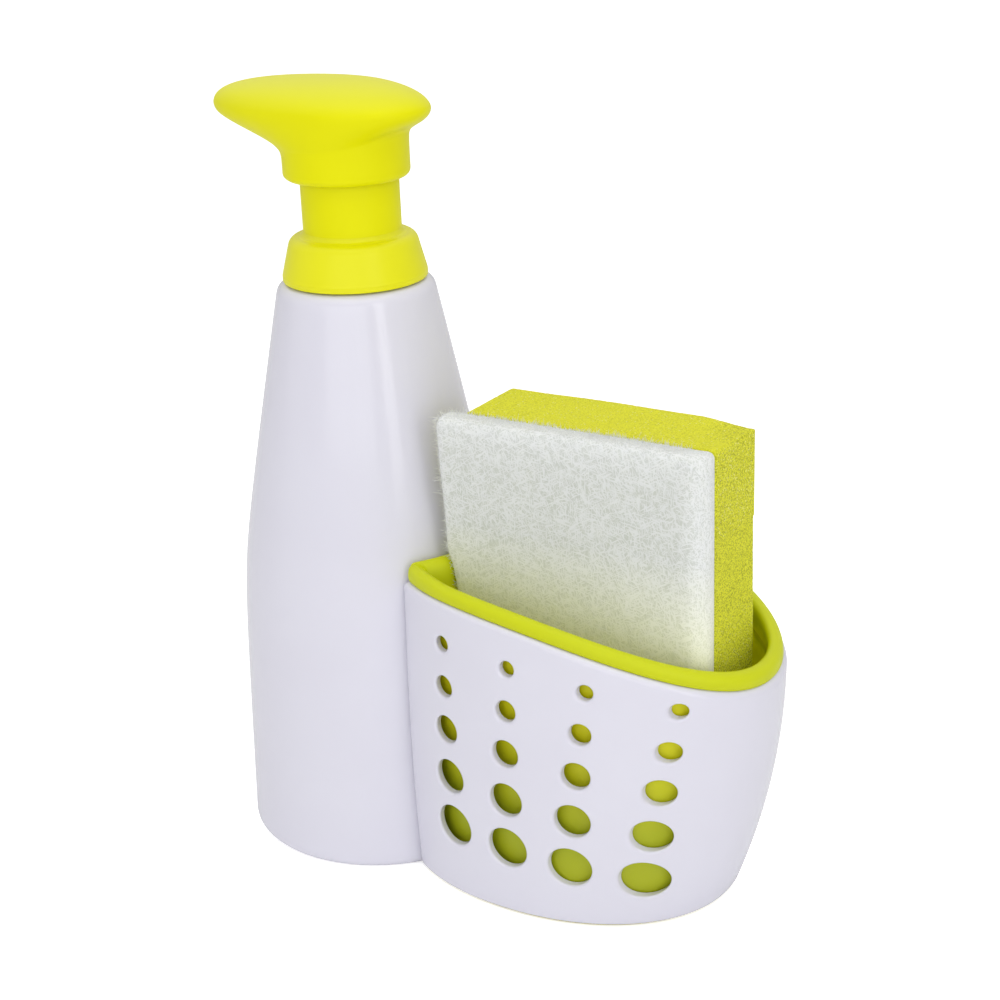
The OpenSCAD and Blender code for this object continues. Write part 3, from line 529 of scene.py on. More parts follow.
sleeve_corners = [
    (STEM_R + SLIDE_GAP, flange_top_z, 0), (FLANGE_R, flange_top_z, 0.3),
    (FLANGE_R, foot_top_z, 0.3), (SLEEVE_R, foot_top_z, 0.2), (SLEEVE_R, sleeve_top_z, 0.6),
    (SLEEVE_R - SLEEVE_WALL, sleeve_top_z, 0.6),
    (SLEEVE_R - SLEEVE_WALL, foot_top_z + SLEEVE_WALL, 1),
    (boss_r, foot_top_z + SLEEVE_WALL, 0.5), (boss_r, foot_top_z + BOSS_H, 0.3),
    (STEM_R + SLIDE_GAP, foot_top_z + BOSS_H, 0.3), (STEM_R + SLIDE_GAP, flange_top_z, 0)]
satin, tone, grain = lime_look("satin_lime_plastic", rgb(230, 227, 0), rgb(235, 232, 0), 0.13)
# Painted sheen: the crown's top is painted paler and bluer for the reflection of the lamp overhead.
painted_sheen = satin.along("Z").rise(SHEEN_Z, SHEEN_RATE)
lime_plastic = satin.set(
    Base_Color=satin.mix(0.75 * painted_sheen, tone, rgb(233, 232, 62)), Roughness=0.38 + 0.08 * grain)
turned_piece(
    "sleeve", sleeve_corners, TURN_STEPS, lime_plastic, "pump", "guide_sleeve")

# Pump barrel, tube and valve
# The working parts that hang in the bottle: a milky cylinder with a flange, the seal under
# it, the dip tube with its slanted mouth and the steel ball that closes the inlet.
BARREL_BORE_R, BARREL_WALL, BARREL_LEN = 6.0, 1.4, 55.0
TUBE_R, TUBE_WALL, TUBE_MOUTH_Z = 3.0, 0.8, 8.5
TUBE_SLANT, SOCKET_LEN = 0.9, 7
BALL_R, BALL_SEAT_R = 2.2, 1.5
flange_z = gasket_top_z
ledge_z = flange_z - BARREL_LEN
seat_z = ledge_z - 2.2 * BALL_R
socket_z = seat_z - BARREL_WALL - SOCKET_LEN
socket_r = TUBE_R + BARREL_WALL
well_r = BALL_R + BARREL_WALL / 2
barrel_corners = [
    (BARREL_BORE_R, flange_top_z, 0), (FLANGE_R, flange_top_z, 0.3), (FLANGE_R, flange_z, 0.3),
    (BARREL_BORE_R + BARREL_WALL, flange_z, 0.5), (BARREL_BORE_R + BARREL_WALL, ledge_z, 1.2),
    (socket_r, seat_z, 1), (socket_r, socket_z, 0.4), (TUBE_R + REST_GAP, socket_z, 0.2),
    (TUBE_R + REST_GAP, seat_z - BARREL_WALL, 0), (BALL_SEAT_R, seat_z - BARREL_WALL, 0),
    (BALL_SEAT_R, seat_z, 0), (well_r, seat_z, 0.4), (well_r, ledge_z, 0),
    (BARREL_BORE_R, ledge_z, 0.4), (BARREL_BORE_R, flange_top_z, 0)]
milky = Look("natural_plastic")
haze = milky.noise(0.004, 3.0)
milky.lit_through(0.25, (0.004, 0.004, 0.004), 0.5)
natural_plastic = milky.set(
    Base_Color=milky.mix(haze, rgb(236, 236, 230), rgb(242, 242, 238)),
    Roughness=0.28 + 0.08 * haze)
turned_piece(
    "barrel", barrel_corners, 96, natural_plastic, "pump", "pump_barrel")

tube_top_z = seat_z - BARREL_WALL - REST_GAP
tube_side_z = np.linspace(TUBE_MOUTH_Z, tube_top_z, 60)
tube_in_r = TUBE_R - TUBE_WALL
tube_points = turned(np.concatenate([
    np.stack([TUBE_R + 0 * tube_side_z, tube_side_z], axis=-1),
    np.stack([tube_in_r + 0 * tube_side_z, tube_side_z[::-1]], axis=-1)]), 48)
slant_z = TUBE_MOUTH_Z + (TUBE_R - tube_points[..., 0]) * TUBE_SLANT + 0.2
tube_points[..., 2] = np.maximum(tube_points[..., 2], slant_z)
make_piece("inlet_tube", [(tube_points, True, True)], natural_plastic,
           "pump", ["dip_tube"])


def grained_rubber(name, grain_size, dark, light, roughness, depth):
    """Dull rubber, with a grain that shows in its tone, its roughness and its relief."""
    look = Look(name)
    grain = look.noise(grain_size, 3.0)
    return look.set(
        Base_Color=look.mix(grain, dark, light),
        Roughness=roughness + 0.1 * grain,
        Normal=look.bump(grain, depth))


seal_rubber = grained_rubber(
    "seal_rubber", 0.0006, rgb(108, 110, 114), rgb(124, 126, 130), 0.62, 0.00002)
gasket_corners = [
    (NECK_IN_R, neck_top_z, 0), (FLANGE_R, neck_top_z, 0.2), (FLANGE_R, gasket_top_z, 0.2),
    (NECK_IN_R, gasket_top_z, 0.2), (NECK_IN_R, neck_top_z, 0)]
turned_piece("flange_seal", gasket_corners, 96, seal_rubber, "pump", "neck_gasket")


def ball_points(centre_z, radius):
    """A sphere on the pump axis, as a half circle turned round it."""
    angle = np.linspace(-np.pi / 2, np.pi / 2, 32)
    return turned(np.stack([radius * np.cos(angle), centre_z + radius * np.sin(angle)], -1), 48)


metal = Look("spring_steel")
draw_marks = metal.noise(0.0004, 2.0, 0.5, metal.stretched((1, 1, 6)))
steel = metal.set(
    Base_Color=metal.mix(draw_marks, rgb(196, 198, 202), rgb(214, 216, 219)),
    Metallic=1.0,
    Roughness=0.18 + 0.12 * draw_marks,
)
ball_z = seat_z + math.sqrt(BALL_R ** 2 - BALL_SEAT_R ** 2) + REST_GAP
make_piece("inlet_valve_ball", [(ball_points(ball_z, BALL_R), False, True)], steel,
           "inlet_valve", ["inlet_ball"])

# Return spring
# A coil of steel wire between the ledge of the barrel and the plug of the rod. It shortens when the
# head is pressed.
SPRING_R, WIRE_R, SPRING_TURNS, SPRING_LEN = 4.9, 0.45, 8, 29.4
STROKE = 11.0
WAVE = 0.09 * 6 / (2 * math.pi)


def coil(radius, low, high, turns, steps, sides):
    """A wire of circular section carried along a helix. Its climb is the way along, less a
    small wave that bunches the turns a little."""
    along = np.linspace(0, 1, turns * steps + 1)[:, None]
    climb = along - WAVE * np.sin(2 * np.pi * along) * along * (1 - along)
    turn = 2 * np.pi * turns * along
    side = np.linspace(0, 2 * np.pi, sides, endpoint=False)[None, :]
    r = radius + WIRE_R * np.cos(side)
    z = low + WIRE_R + (high - low - 2 * WIRE_R) * climb + WIRE_R * np.sin(side)
    body = np.stack([r * np.cos(turn), r * np.sin(turn), z + 0 * turn], axis=-1)
    caps = [body[k].mean(axis=0) + 0 * body[k] for k in (0, -1)]
    return np.concatenate([caps[0][None], body, caps[1][None]])


spring = make_piece(
    "spring_coil",
    [(coil(SPRING_R - WIRE_R, ledge_z + REST_GAP, ledge_z + SPRING_LEN - REST_GAP,
           SPRING_TURNS, 32, 10), False, True)],
    steel, "pump", ["return_spring"])
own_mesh(spring)

# Piston, rod, stem and outlet ball
# The column that the head pushes down: a soft piston with two lips, the rod with its plug
# and slotted end, the stem it is pressed into and the ball that closes the stem.
ROD_R, PLUG_H, PISTON_H, STEM_BORE_R, ROD_GRIP = 1.6, 1.8, 6.5, 1.9, 8
OUTLET_R, OUTLET_SEAT_R, CHAMBER_H = 1.6, 1.1, 6
plug_z = ledge_z + SPRING_LEN
plug_top_z = plug_z + PLUG_H
piston_z = plug_top_z + REST_GAP
lip = PISTON_H / 6
seal_r = BARREL_BORE_R - SLIDE_GAP
waist_r = seal_r - lip
piston_corners = [
    (ROD_R + SLIDE_GAP, piston_z, 0), (waist_r, piston_z, 0), (seal_r, piston_z + lip / 2, 0.2),
    (seal_r, piston_z + lip, 0.2), (waist_r, piston_z + 2 * lip, 0.6),
    (waist_r, piston_z + 4 * lip, 0.6), (seal_r, piston_z + 5 * lip, 0.2),
    (seal_r, piston_z + 5.5 * lip, 0.2), (waist_r, piston_z + PISTON_H, 0),
    (ROD_R + SLIDE_GAP, piston_z + PISTON_H, 0), (ROD_R + SLIDE_GAP, piston_z, 0)]
turned_piece("seal_piston", piston_corners, 96, seal_rubber, "plunger", "piston")

stem_z = piston_z + PISTON_H + REST_GAP
grip_r, grip_z = STEM_BORE_R - REST_GAP, stem_z + REST_GAP
rod_corners = [
    (0, plug_z, 0), (SPRING_R + SLIDE_GAP, plug_z, 0.3), (SPRING_R + SLIDE_GAP, plug_top_z, 0.3),
    (ROD_R, plug_top_z, 0.3), (ROD_R, grip_z, 0), (grip_r, grip_z, 0),
    (grip_r, stem_z + ROD_GRIP, 0.3), (0, stem_z + ROD_GRIP, 0)]
turned_piece("plug_rod", rod_corners, 48, natural_plastic, "head", "valve_rod")

channel_z = sleeve_top_z + STROKE + 0.5
chamber_z = channel_z - CHAMBER_H
bore_end_z = stem_z + ROD_GRIP + STEM_R
stem_corners = [
    (STEM_BORE_R, stem_z, 0), (STEM_R, stem_z, 0.3), (STEM_R, channel_z, 0.2),
    (STEM_BORE_R, channel_z, 0), (STEM_BORE_R, chamber_z, 0), (OUTLET_SEAT_R, chamber_z, 0),
    (OUTLET_SEAT_R, bore_end_z, 0), (STEM_BORE_R, bore_end_z, 0), (STEM_BORE_R, stem_z, 0)]
turned_piece("stem_tube", stem_corners, 64, natural_plastic, "head", "stem")
outlet_z = chamber_z + math.sqrt(OUTLET_R ** 2 - OUTLET_SEAT_R ** 2) + REST_GAP
make_piece("outlet_valve_ball", [(ball_points(outlet_z, OUTLET_R), False, True)], steel,
           "outlet_valve", ["outlet_ball"])

# Pump head
# One satin lime moulding: a round skirt that swells into a long oval crown with a beak. It
# is hollow below, and the spout channel closes the slot under the beak.
HEAD_TOP_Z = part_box("head_cover")[1].z / MM
SKIRT_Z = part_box("head_cover")[0].z / MM
EDGE_Z = HEAD_TOP_Z - 8.8
SWELL_Z, BACK_SWELL_Z, BACK_RISE = SKIRT_Z + 9, EDGE_Z - 3.8, 0.7
SKIRT_R, SKIRT_IN_R = 16.6, 14.4
BEAK_REACH, BACK_REACH, HEAD_HALF_W = 42.4, 24.9, 18.7
# Squareness of the crown's and the underside's section, towards the beak and the back
CROWN_POWERS, UNDER_POWERS = (2.9, 1.9), (1.24, 1.6)
HOLLOW_DEPTH, HOLLOW_FADE = 0.15, 7.6
# Rounds of averaging for all rings, and for the rings of the fillet under the crown
EDGE_ROUNDS, FILLET_ROUNDS, FILLET_FIRST, FILLET_LAST = 5, 24, 5, 22
BEAK_SWELL = 1.4
HEAD_STEPS = 240
head_turn = np.linspace(0, 2 * np.pi, HEAD_STEPS, endpoint=False)
long_reach = np.where(np.cos(head_turn) < 0, BEAK_REACH, BACK_REACH)
head_reach = 1 / np.sqrt(
    (np.cos(head_turn) / long_reach) ** 2 + (np.sin(head_turn) / HEAD_HALF_W) ** 2)
beak_share = (1 - np.cos(head_turn)) / 2
back_share = (1 - beak_share) ** 4
crown_power = CROWN_POWERS[1] + (CROWN_POWERS[0] - CROWN_POWERS[1]) * beak_share
under_power = UNDER_POWERS[0] + (UNDER_POWERS[1] - UNDER_POWERS[0]) * back_share
swell_z = SWELL_Z + (BACK_SWELL_Z - SWELL_Z) * back_share
edge_z = EDGE_Z + BACK_RISE * (1 - beak_share) ** 2


def head_rows():
    """Rings of the head's outside. The underside rises from the skirt to the edge as
    1 - (1 - s^m)^(1/m) of the way out s, less a soft hollow next to the skirt, and the crown
    is a superellipse from the edge to the top. The skirt is a little deeper towards the beak.
    Rings are then averaged with their neighbours, most of all under the crown."""
    skirt_r = SKIRT_R + BEAK_SWELL * beak_share
    s = np.linspace(0, 1, 40)[:, None] ** 1.4
    rise = 1 - (1 - s ** under_power) ** (1 / under_power)
    hollow = HOLLOW_DEPTH * (head_reach - SKIRT_R) * np.exp(-HOLLOW_FADE * s)
    under_r = skirt_r + s * (head_reach - skirt_r)
    under_z = swell_z + (edge_z - swell_z) * rise - hollow
    angle = np.linspace(0, np.pi / 2, 34)[1:, None]
    crown_r = np.abs(np.cos(angle)) ** (2 / crown_power) * head_reach
    crown_z = edge_z + (HEAD_TOP_Z - edge_z) * np.sin(angle) ** (2 / crown_power)
    wall_share = np.linspace(0, 1, 12)[:-1, None]
    wall_z = SKIRT_Z + 2 + (under_z[:1] - SKIRT_Z - 2) * wall_share
    r = np.concatenate([skirt_r + 0 * wall_z, under_r, crown_r])
    z = np.concatenate([wall_z, under_z, crown_z])
    passes = [(1, len(r) - 1)] * EDGE_ROUNDS + [(FILLET_FIRST, FILLET_LAST)] * FILLET_ROUNDS
    for first, last in passes:
        for row in (r, z):
            sides = row[first - 1:last - 1] + row[first + 1:last + 1]
            row[first:last] = (sides + 2 * row[first:last]) / 4
    return np.stack([r * np.cos(head_turn), r * np.sin(head_turn), z], axis=-1)


skirt_edge = turned(rounded([
    (SKIRT_R, SKIRT_Z + 2, 0), (SKIRT_R, SKIRT_Z, 1.8), (SKIRT_IN_R, SKIRT_Z, 0.4),
    (SKIRT_IN_R, EDGE_Z + 1, 0), (0.82 * SKIRT_IN_R, EDGE_Z + 3.5, 0),
    (0.45 * SKIRT_IN_R, HEAD_TOP_Z - 2.6, 0), (0, HEAD_TOP_Z - 2.1, 0)]), HEAD_STEPS)
swell = (BEAK_SWELL * beak_share / SKIRT_R)[None, :, None] * np.array([1, 1, 0])
skirt_out = np.clip(np.hypot(skirt_edge[..., :1], skirt_edge[..., 1:2]) - SKIRT_IN_R, 0, None)
skirt_edge = skirt_edge * (1 + swell * np.clip(skirt_out / (SKIRT_R - SKIRT_IN_R), 0, 1))
make_piece(
    "head_crown", [(head_rows(), False, True), (skirt_edge, False, True)], lime_plastic,
    "head", ["head_cover"])
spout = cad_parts["spout_channel"]
spout.data.materials.clear()
spout.data.materials.append(lime_plastic)

# Basket shell
# The perforated basket, moulded in the same glossy white plastic. Its plan is an oval cut by
# a saddle round the bottle. Its rim falls away from the bottle, and forty round holes are
# drawn straight through its two long sides.
FAR_BASE, FAR_TOP, FAR_BULGE = 113.0, 126.1, 5.0
SIDE_BASE, SIDE_TOP, SIDE_BULGE = 37.0, 37.1, 2.6
NEAR_X, SQUARENESS = 14.0, 2.1
RIM_LOW, EDGE_CUT = 68.3, 0.25
SHELL_WALL, SADDLE_GAP = 2.2, 0.35
FOOT_H, BASE_ROUND, RIM_ROUND = 0.6, 1.2, 1.5
LEDGE_W, LEDGE_H = 4.0, 2.0
HOLE_D, HOLE_FILLET = 11.8, 0.9
COLUMN_FIRST, COLUMN_PITCH, COLUMN_FIRST_TOP, COLUMN_TOP_PITCH = 48.7, 16.3, 44.6, 22.9
ROW_SHARES = np.array([0.258, 0.430, 0.591, 0.734, 0.872])
SIZE_SHARES = np.array([1, 0.83, 0.66, 0.51, 0.37])
ROW_SINK = 0.63
# Lines between the rows of holes, as shares of the rim's height, and how far each sinks
BORDER_SHARES = [0.17, 0.355, 0.523, 0.674, 0.814, 0.945]
BORDER_SINKS = [0.63, 0.63, 0.63, 0.63, 0.63, 0.80]
HOLE_COLUMNS, HOLE_ROWS = 4, 5
CELL = 12
NEAR_STEPS, FAR_STEPS, SADDLE_STEPS, CORNER_ROUNDS = 16, 22, 48, 26


def bulged(z, base, top, bulge):
    """A straight line from base to top over the rim's height, and a parabola of height bulge."""
    share = z / RIM_HIGH
    return base + (top - base) * share + 4 * bulge * share * (1 - share)


def far_x(z):
    """Reach of the basket's far end at a height."""
    return bulged(z, FAR_BASE, FAR_TOP, FAR_BULGE)


def half_w(z):
    """Half width of the basket at a height."""
    return bulged(z, SIDE_BASE, SIDE_TOP, SIDE_BULGE)


def rim_z(x):
    """Height of the rim over x: level beside the bottle, then falling as a parabola."""
    bend_x = BASE_R + SHELL_WALL
    return RIM_HIGH - (RIM_HIGH - RIM_LOW) * (
        np.clip(x - bend_x, 0, None) / (FAR_TOP - bend_x)) ** 2


def centre_of(z, inset):
    """Middle and half length of the plan's oval at a height, less an inset."""
    return (far_x(z) + NEAR_X) / 2, (far_x(z) - NEAR_X) / 2 - inset


def plan_x(z, inset, t):
    """Place along the oval's length at an angle t: a superellipse, cos(t) to the power 2/n."""
    mid, a = centre_of(z, inset)
    return mid + a * np.sign(np.cos(t)) * np.abs(np.cos(t)) ** (2 / SQUARENESS)


def side_y(x, z, inset):
    """Half width of the oval over a point x: a superellipse, (1 - |x/a|^n)^(1/n)."""
    mid, a = centre_of(z, inset)
    share = np.clip(1 - np.abs((x - mid) / a) ** SQUARENESS, 0, None)
    return (half_w(z) - inset) * share ** (1 / SQUARENESS)


def plan_y(z, inset, t, draft):
    """Half width at an angle of the oval. A piece with draft stays within every section of
    the basket above it, so that it lifts straight out."""
    y = (half_w(z) - inset) * np.abs(np.sin(t)) ** (2 / SQUARENESS)
    if draft:
        x = plan_x(z, inset, t)
        for share in np.linspace(0, 1, 5):
            y = np.minimum(y, side_y(x, z + (rim_z(x) - z) * share, inset))
    return y


def angle_over(x, z):
    """Angle at which the outer oval passes over a point x, the reverse of plan_x."""
    mid, a = centre_of(z, 0)
    q = np.clip((x - mid) / a, -1, 1)
    return np.arccos(np.sign(q) * np.abs(q) ** (SQUARENESS / 2))


def saddle_r(z, inset):
    """Radius of the wall that hugs the bottle, which follows the bottle's own taper."""
    return bottle_r(z) + SADDLE_GAP + inset


def corner_angle(z, inset, draft):
    """Angle at which the oval meets the saddle, found by halving."""
    low, high = np.full_like(z, np.radians(95)), np.full_like(z, np.radians(175))
    for _ in range(30):
        t = (low + high) / 2
        outside = np.hypot(plan_x(z, inset, t), plan_y(z, inset, t, draft)) > saddle_r(z, inset)
        low, high = np.where(outside, t, low), np.where(outside, high, t)
    return (low + high) / 2


def column_x(number, z):
    """Place of a column of holes at a height: evenly spaced below, and fanned out above."""
    share = z / RIM_HIGH
    below = COLUMN_FIRST + number * COLUMN_PITCH
    return (1 - share) * below + share * (COLUMN_FIRST_TOP + number * COLUMN_TOP_PITCH)


def border_z(number, x):
    """Heights of the eight lines that part the rows, from the foot's rounding to the rim's."""
    drop = RIM_HIGH - rim_z(x)
    if number == 0:
        return FOOT_H + BASE_ROUND + 0 * x
    if number == 7:
        return rim_z(x) - RIM_ROUND
    z = BORDER_SHARES[number - 1] * RIM_HIGH - BORDER_SINKS[number - 1] * drop
    return np.minimum(z, rim_z(x) - 1.3 * RIM_ROUND)


# Stations round a ring: the holes of the +Y side, the far end, the holes of the -Y side, and
# then the near corner, the saddle and the other corner.
ON_HOLES, ON_END, ON_CORNER = 0, 1, 2
hole_run = -0.5 + np.arange(HOLE_COLUMNS * CELL + 1) / CELL
far_run = np.arange(1, FAR_STEPS + 1) / FAR_STEPS
near_run = 1 - (1 - np.arange(1, NEAR_STEPS + 1) / NEAR_STEPS) ** 1.8
end_count = 2 * FAR_STEPS - 1
station_kind = np.repeat(
    [ON_HOLES, ON_END, ON_HOLES, ON_CORNER],
    [len(hole_run), end_count, len(hole_run), NEAR_STEPS])
station_column = np.concatenate([
    hole_run, np.zeros(end_count), hole_run[::-1], np.zeros(NEAR_STEPS)])
station_share = np.concatenate([
    0 * hole_run, far_run, far_run[-2::-1], 0 * hole_run, near_run])
half_count = len(hole_run) + FAR_STEPS
station_sign = np.where(np.arange(len(station_kind)) < half_count, 1.0, -1.0)
saddle_run = np.linspace(-1, 1, SADDLE_STEPS + 1)[1:-1]
saddle_run = np.sign(saddle_run) * (1 - (1 - np.abs(saddle_run)) ** 1.8)


def ring_rows(levels, draft=False):
    """Rings round the basket's plan. A level is (inset, function from x to height). Its
    height depends on x and its x on the height, so both are settled in a few rounds."""
    insets = np.array([level[0] for level in levels])[:, None]
    heights = [level[1] for level in levels]

    def height(x):
        return np.stack([f(row) for f, row in zip(heights, x)])

    near_z = height(np.zeros((len(levels), 1)))
    z = near_z + 0 * station_kind[None]
    for _ in range(8):
        meet = corner_angle(near_z, insets, draft)
        first = angle_over(column_x(-0.5, z), z)
        last = angle_over(column_x(HOLE_COLUMNS - 0.5, z), z)
        t = np.where(
            station_kind == ON_HOLES, angle_over(column_x(station_column, z), z),
            np.where(station_kind == ON_END, last * (1 - station_share),
                     first * (1 - station_share) + meet * station_share))
        x = plan_x(z, insets, t)
        z = height(x)
    y = plan_y(z, insets, t, draft) * station_sign
    outer = np.stack([x, y, z], axis=-1)
    corner_y = plan_y(near_z, insets, meet, draft)
    turn = np.arctan2(corner_y, plan_x(near_z, insets, meet)) * saddle_run
    r = saddle_r(near_z, insets)
    saddle = np.stack([r * np.cos(turn), r * np.sin(turn), near_z + 0 * turn], axis=-1)
    near_side = outer[:, -NEAR_STEPS:][:, ::-1] * np.array([1, -1, 1])
    return softened(np.concatenate([outer, saddle, near_side], axis=1))


def softened(rows):
    """Rounds the two corners where the oval meets the saddle, by averaging neighbours."""
    count = rows.shape[1]
    corners = [len(station_kind) - 1, count - NEAR_STEPS]
    away = np.min([np.abs(np.arange(count) - corner) for corner in corners], axis=0)
    weight = np.clip((9 - away) / 4, 0, 1)[None, :, None]
    for _ in range(CORNER_ROUNDS):
        mean = (np.roll(rows, 1, axis=1) + 2 * rows + np.roll(rows, -1, axis=1)) / 4
        rows = rows + (mean - rows) * weight * np.array([1, 1, 0])
    return rows


def at_share(number, share):
    """A height function that lies at a share of the way from one border to the next."""
    return lambda x: border_z(number, x) * (1 - share) + border_z(number + 1, x) * share


def from_rim(lift):
    """A height function at a lift over the rim."""
    return lambda x: rim_z(x) + lift


def from_counter(height):
    """A height function that is level over the counter."""
    return lambda x: height + 0 * x


def foot_arc(inset, z, radius):
    """Levels on a quarter circle, from a floor at z up to the foot of a wall at an inset."""
    return [(inset + radius * (1 - math.sin(a)), from_counter(z + radius * (1 - math.cos(a))))
            for a in quarter]


quarter = np.linspace(0, np.pi / 2, 6)
base_levels = foot_arc(0, FOOT_H, BASE_ROUND)
band_levels = [(0, at_share(0, s)) for s in np.linspace(0, 1, 7)[1:]]
hole_levels = [
    (0, at_share(1 + row, k / CELL)) for row in range(HOLE_ROWS) for k in range(CELL)]
hole_levels.append((0, at_share(HOLE_ROWS, 1)))
top_levels = [(0, at_share(6, s)) for s in np.linspace(0, 1, 6)]
rim_levels = [
    (RIM_ROUND * (1 - math.cos(a)), from_rim(-RIM_ROUND * (1 - math.sin(a)))) for a in quarter]
rim_levels += [(SHELL_WALL - EDGE_CUT, from_rim(0)), (SHELL_WALL, from_rim(-EDGE_CUT))]
inner_top_levels = [(SHELL_WALL, from_rim(-EDGE_CUT)), (SHELL_WALL, from_rim(-RIM_ROUND))]
inner_top_levels += [(SHELL_WALL, at_share(6, s)) for s in np.linspace(1, 0, 5)[1:]]
ledge_z_top = FOOT_H + LEDGE_H
ledge_end = SHELL_WALL + LEDGE_W
inner_base_levels = [
    (SHELL_WALL, lambda x, s=s: border_z(1, x) * (1 - s) + (ledge_z_top + 0.6) * s)
    for s in np.linspace(0, 1, 6)]
inner_base_levels += [(inset, from_counter(z)) for inset, z in (
    (SHELL_WALL + 0.6, ledge_z_top), (ledge_end - 0.3, ledge_z_top),
    (ledge_end, ledge_z_top - 0.3), (ledge_end, FOOT_H), (BASE_ROUND + 0.1, FOOT_H))]

outer_rows = ring_rows(hole_levels)
inner_rows = ring_rows([(SHELL_WALL, f) for inset, f in hole_levels])

# Rows and stations of the square loop that borders each hole's cell
run = np.arange(CELL)
loop_j = np.concatenate([0 * run, run, 0 * run + CELL, CELL - run])
loop_i = np.concatenate([run, 0 * run + CELL, CELL - run, 0 * run])
cell_row = np.arange(HOLE_ROWS)[:, None, None] * CELL + loop_j
cell_column = np.arange(HOLE_COLUMNS)[None, :, None] * CELL + loop_i

row_z = (ROW_SHARES * RIM_HIGH)[:, None]
hole_centre_x = column_x(np.arange(HOLE_COLUMNS)[None, :], row_z)
hole_centre_z = row_z - ROW_SINK * (RIM_HIGH - rim_z(hole_centre_x))
hole_r = (SIZE_SHARES * HOLE_D / 2)[:, None] + 0 * hole_centre_x


def hole_sheets(side):
    """Round each hole: rings that spread from its circle to the borders of its cell on the
    outside, a rounded mouth, the straight bore, and rings on the inside."""
    start = 0 if side > 0 else minus_start
    numbers = cell_column if side > 0 else HOLE_COLUMNS * CELL - cell_column
    outer_border, inner_border = (
        rows[cell_row, start + numbers][..., None, :, :] for rows in (outer_rows, inner_rows))
    centre_x, centre_z = hole_centre_x[..., None, None], hole_centre_z[..., None, None]
    bore_r = hole_r[..., None, None]
    angle = np.arctan2(outer_border[..., 2] - centre_z, outer_border[..., 0] - centre_x)

    def circle(radius):
        return centre_x + radius * np.cos(angle), centre_z + radius * np.sin(angle)

    def sheet(x, y, z):
        return np.stack([x, side * y, z], axis=-1)

    def spread(border, radius, inset, steps):
        share = (np.linspace(0, 1, steps) ** 1.4)[:, None]
        x, z = circle(radius)
        x = x * (1 - share) + border[..., 0] * share
        z = z * (1 - share) + border[..., 2] * share
        points = sheet(x, side_y(x, z, inset), z)
        points[..., -1, :, :] = border[..., 0, :, :]
        return points

    arc = np.linspace(0, np.pi / 2, 7)[:, None]
    x, z = circle(bore_r + HOLE_FILLET * (1 - np.sin(arc)))
    mouth_y = side_y(x, z, 0) - HOLE_FILLET * (1 - np.cos(arc))
    mouth = sheet(x, mouth_y, z)
    x, z = circle(bore_r + np.zeros((2, 1)))
    deep_y = side_y(x[..., 1:, :], z[..., 1:, :], SHELL_WALL)
    bore = sheet(x, np.concatenate([mouth_y[..., -1:, :], deep_y], axis=-2), z)
    outside = spread(outer_border, bore_r + HOLE_FILLET, 0, 9)
    inside = spread(inner_border, bore_r, SHELL_WALL, 7)
    return [(points, False, True) for points in (outside, mouth, bore, inside)]


def between(rows, first, last):
    """The stations of rows from first to last, going round past the end of the ring."""
    count = rows.shape[1]
    return rows[:, np.arange(first, last + 1) % count]


ring_count = outer_rows.shape[1]
plus_end = HOLE_COLUMNS * CELL
minus_start = half_count - 1 + FAR_STEPS
under_levels = [inner_base_levels[-1], (BASE_ROUND, from_counter(FOOT_H))]
shell_sheets = [(ring_rows(levels), False, True) for levels in (
    base_levels + band_levels, top_levels + rim_levels, inner_top_levels, inner_base_levels,
    under_levels)]
for rows in (outer_rows, inner_rows):
    shell_sheets.append((between(rows, plus_end, minus_start), False, False))
    shell_sheets.append((between(rows, minus_start + plus_end, ring_count), False, False))
shell_sheets += hole_sheets(1) + hole_sheets(-1)
make_piece(
    "basket", shell_sheets, white_plastic, "root", ["basket_shell"], merge=2e-3)

# Basket foot
# A thin soft ring under the basket, which keeps it from slipping. It is moulded in rubber of
# nearly the liner's colour, with rounded lower edges.
RING_W, RING_ROUND = 3.6, 0.15
foot_rows = ring_rows([(BASE_ROUND + inset, from_counter(z)) for inset, z in (
    (0, FOOT_H), (0, RING_ROUND), (RING_ROUND, 0), (RING_W - RING_ROUND, 0),
    (RING_W, RING_ROUND), (RING_W, FOOT_H))])
foot_rubber = grained_rubber(
    "foot_rubber", 0.0008, rgb(196, 186, 40), rgb(208, 200, 56), 0.6, 0.00003)
make_piece("basket_foot_ring", [(foot_rows, True, True)], foot_rubber,
           "root", ["basket_foot"])

# Liner
# The lime cup that lifts out of the basket, with a rolled lip that lies on the basket's rim
# and ribs on its floor that keep the sponge dry. A lofted shell of even wall.
LINER_WALL, LINER_GAP, LINER_FLOOR = 1.6, 0.35, 1.8
LIP_H, LIP_INSET, LIP_W, LIP_SEAT = 3.9, 1.0, 4.1, 0.25
# Growth of the lip's height towards the bottle, where it starts and over what length
LIP_GROWTH, GROWTH_X, GROWTH_W = 0.42, 44, 20
RIB_H, RIB_W, RIB_SINK, RIB_COUNT = 5.3, 2.0, 0.9, 4
SPONGE_T = 30.5
liner_z = FOOT_H + LEDGE_H + 0.3
liner_inset = SHELL_WALL + LINER_GAP
liner_in = liner_inset + LINER_WALL
floor_z = liner_z + LINER_FLOOR


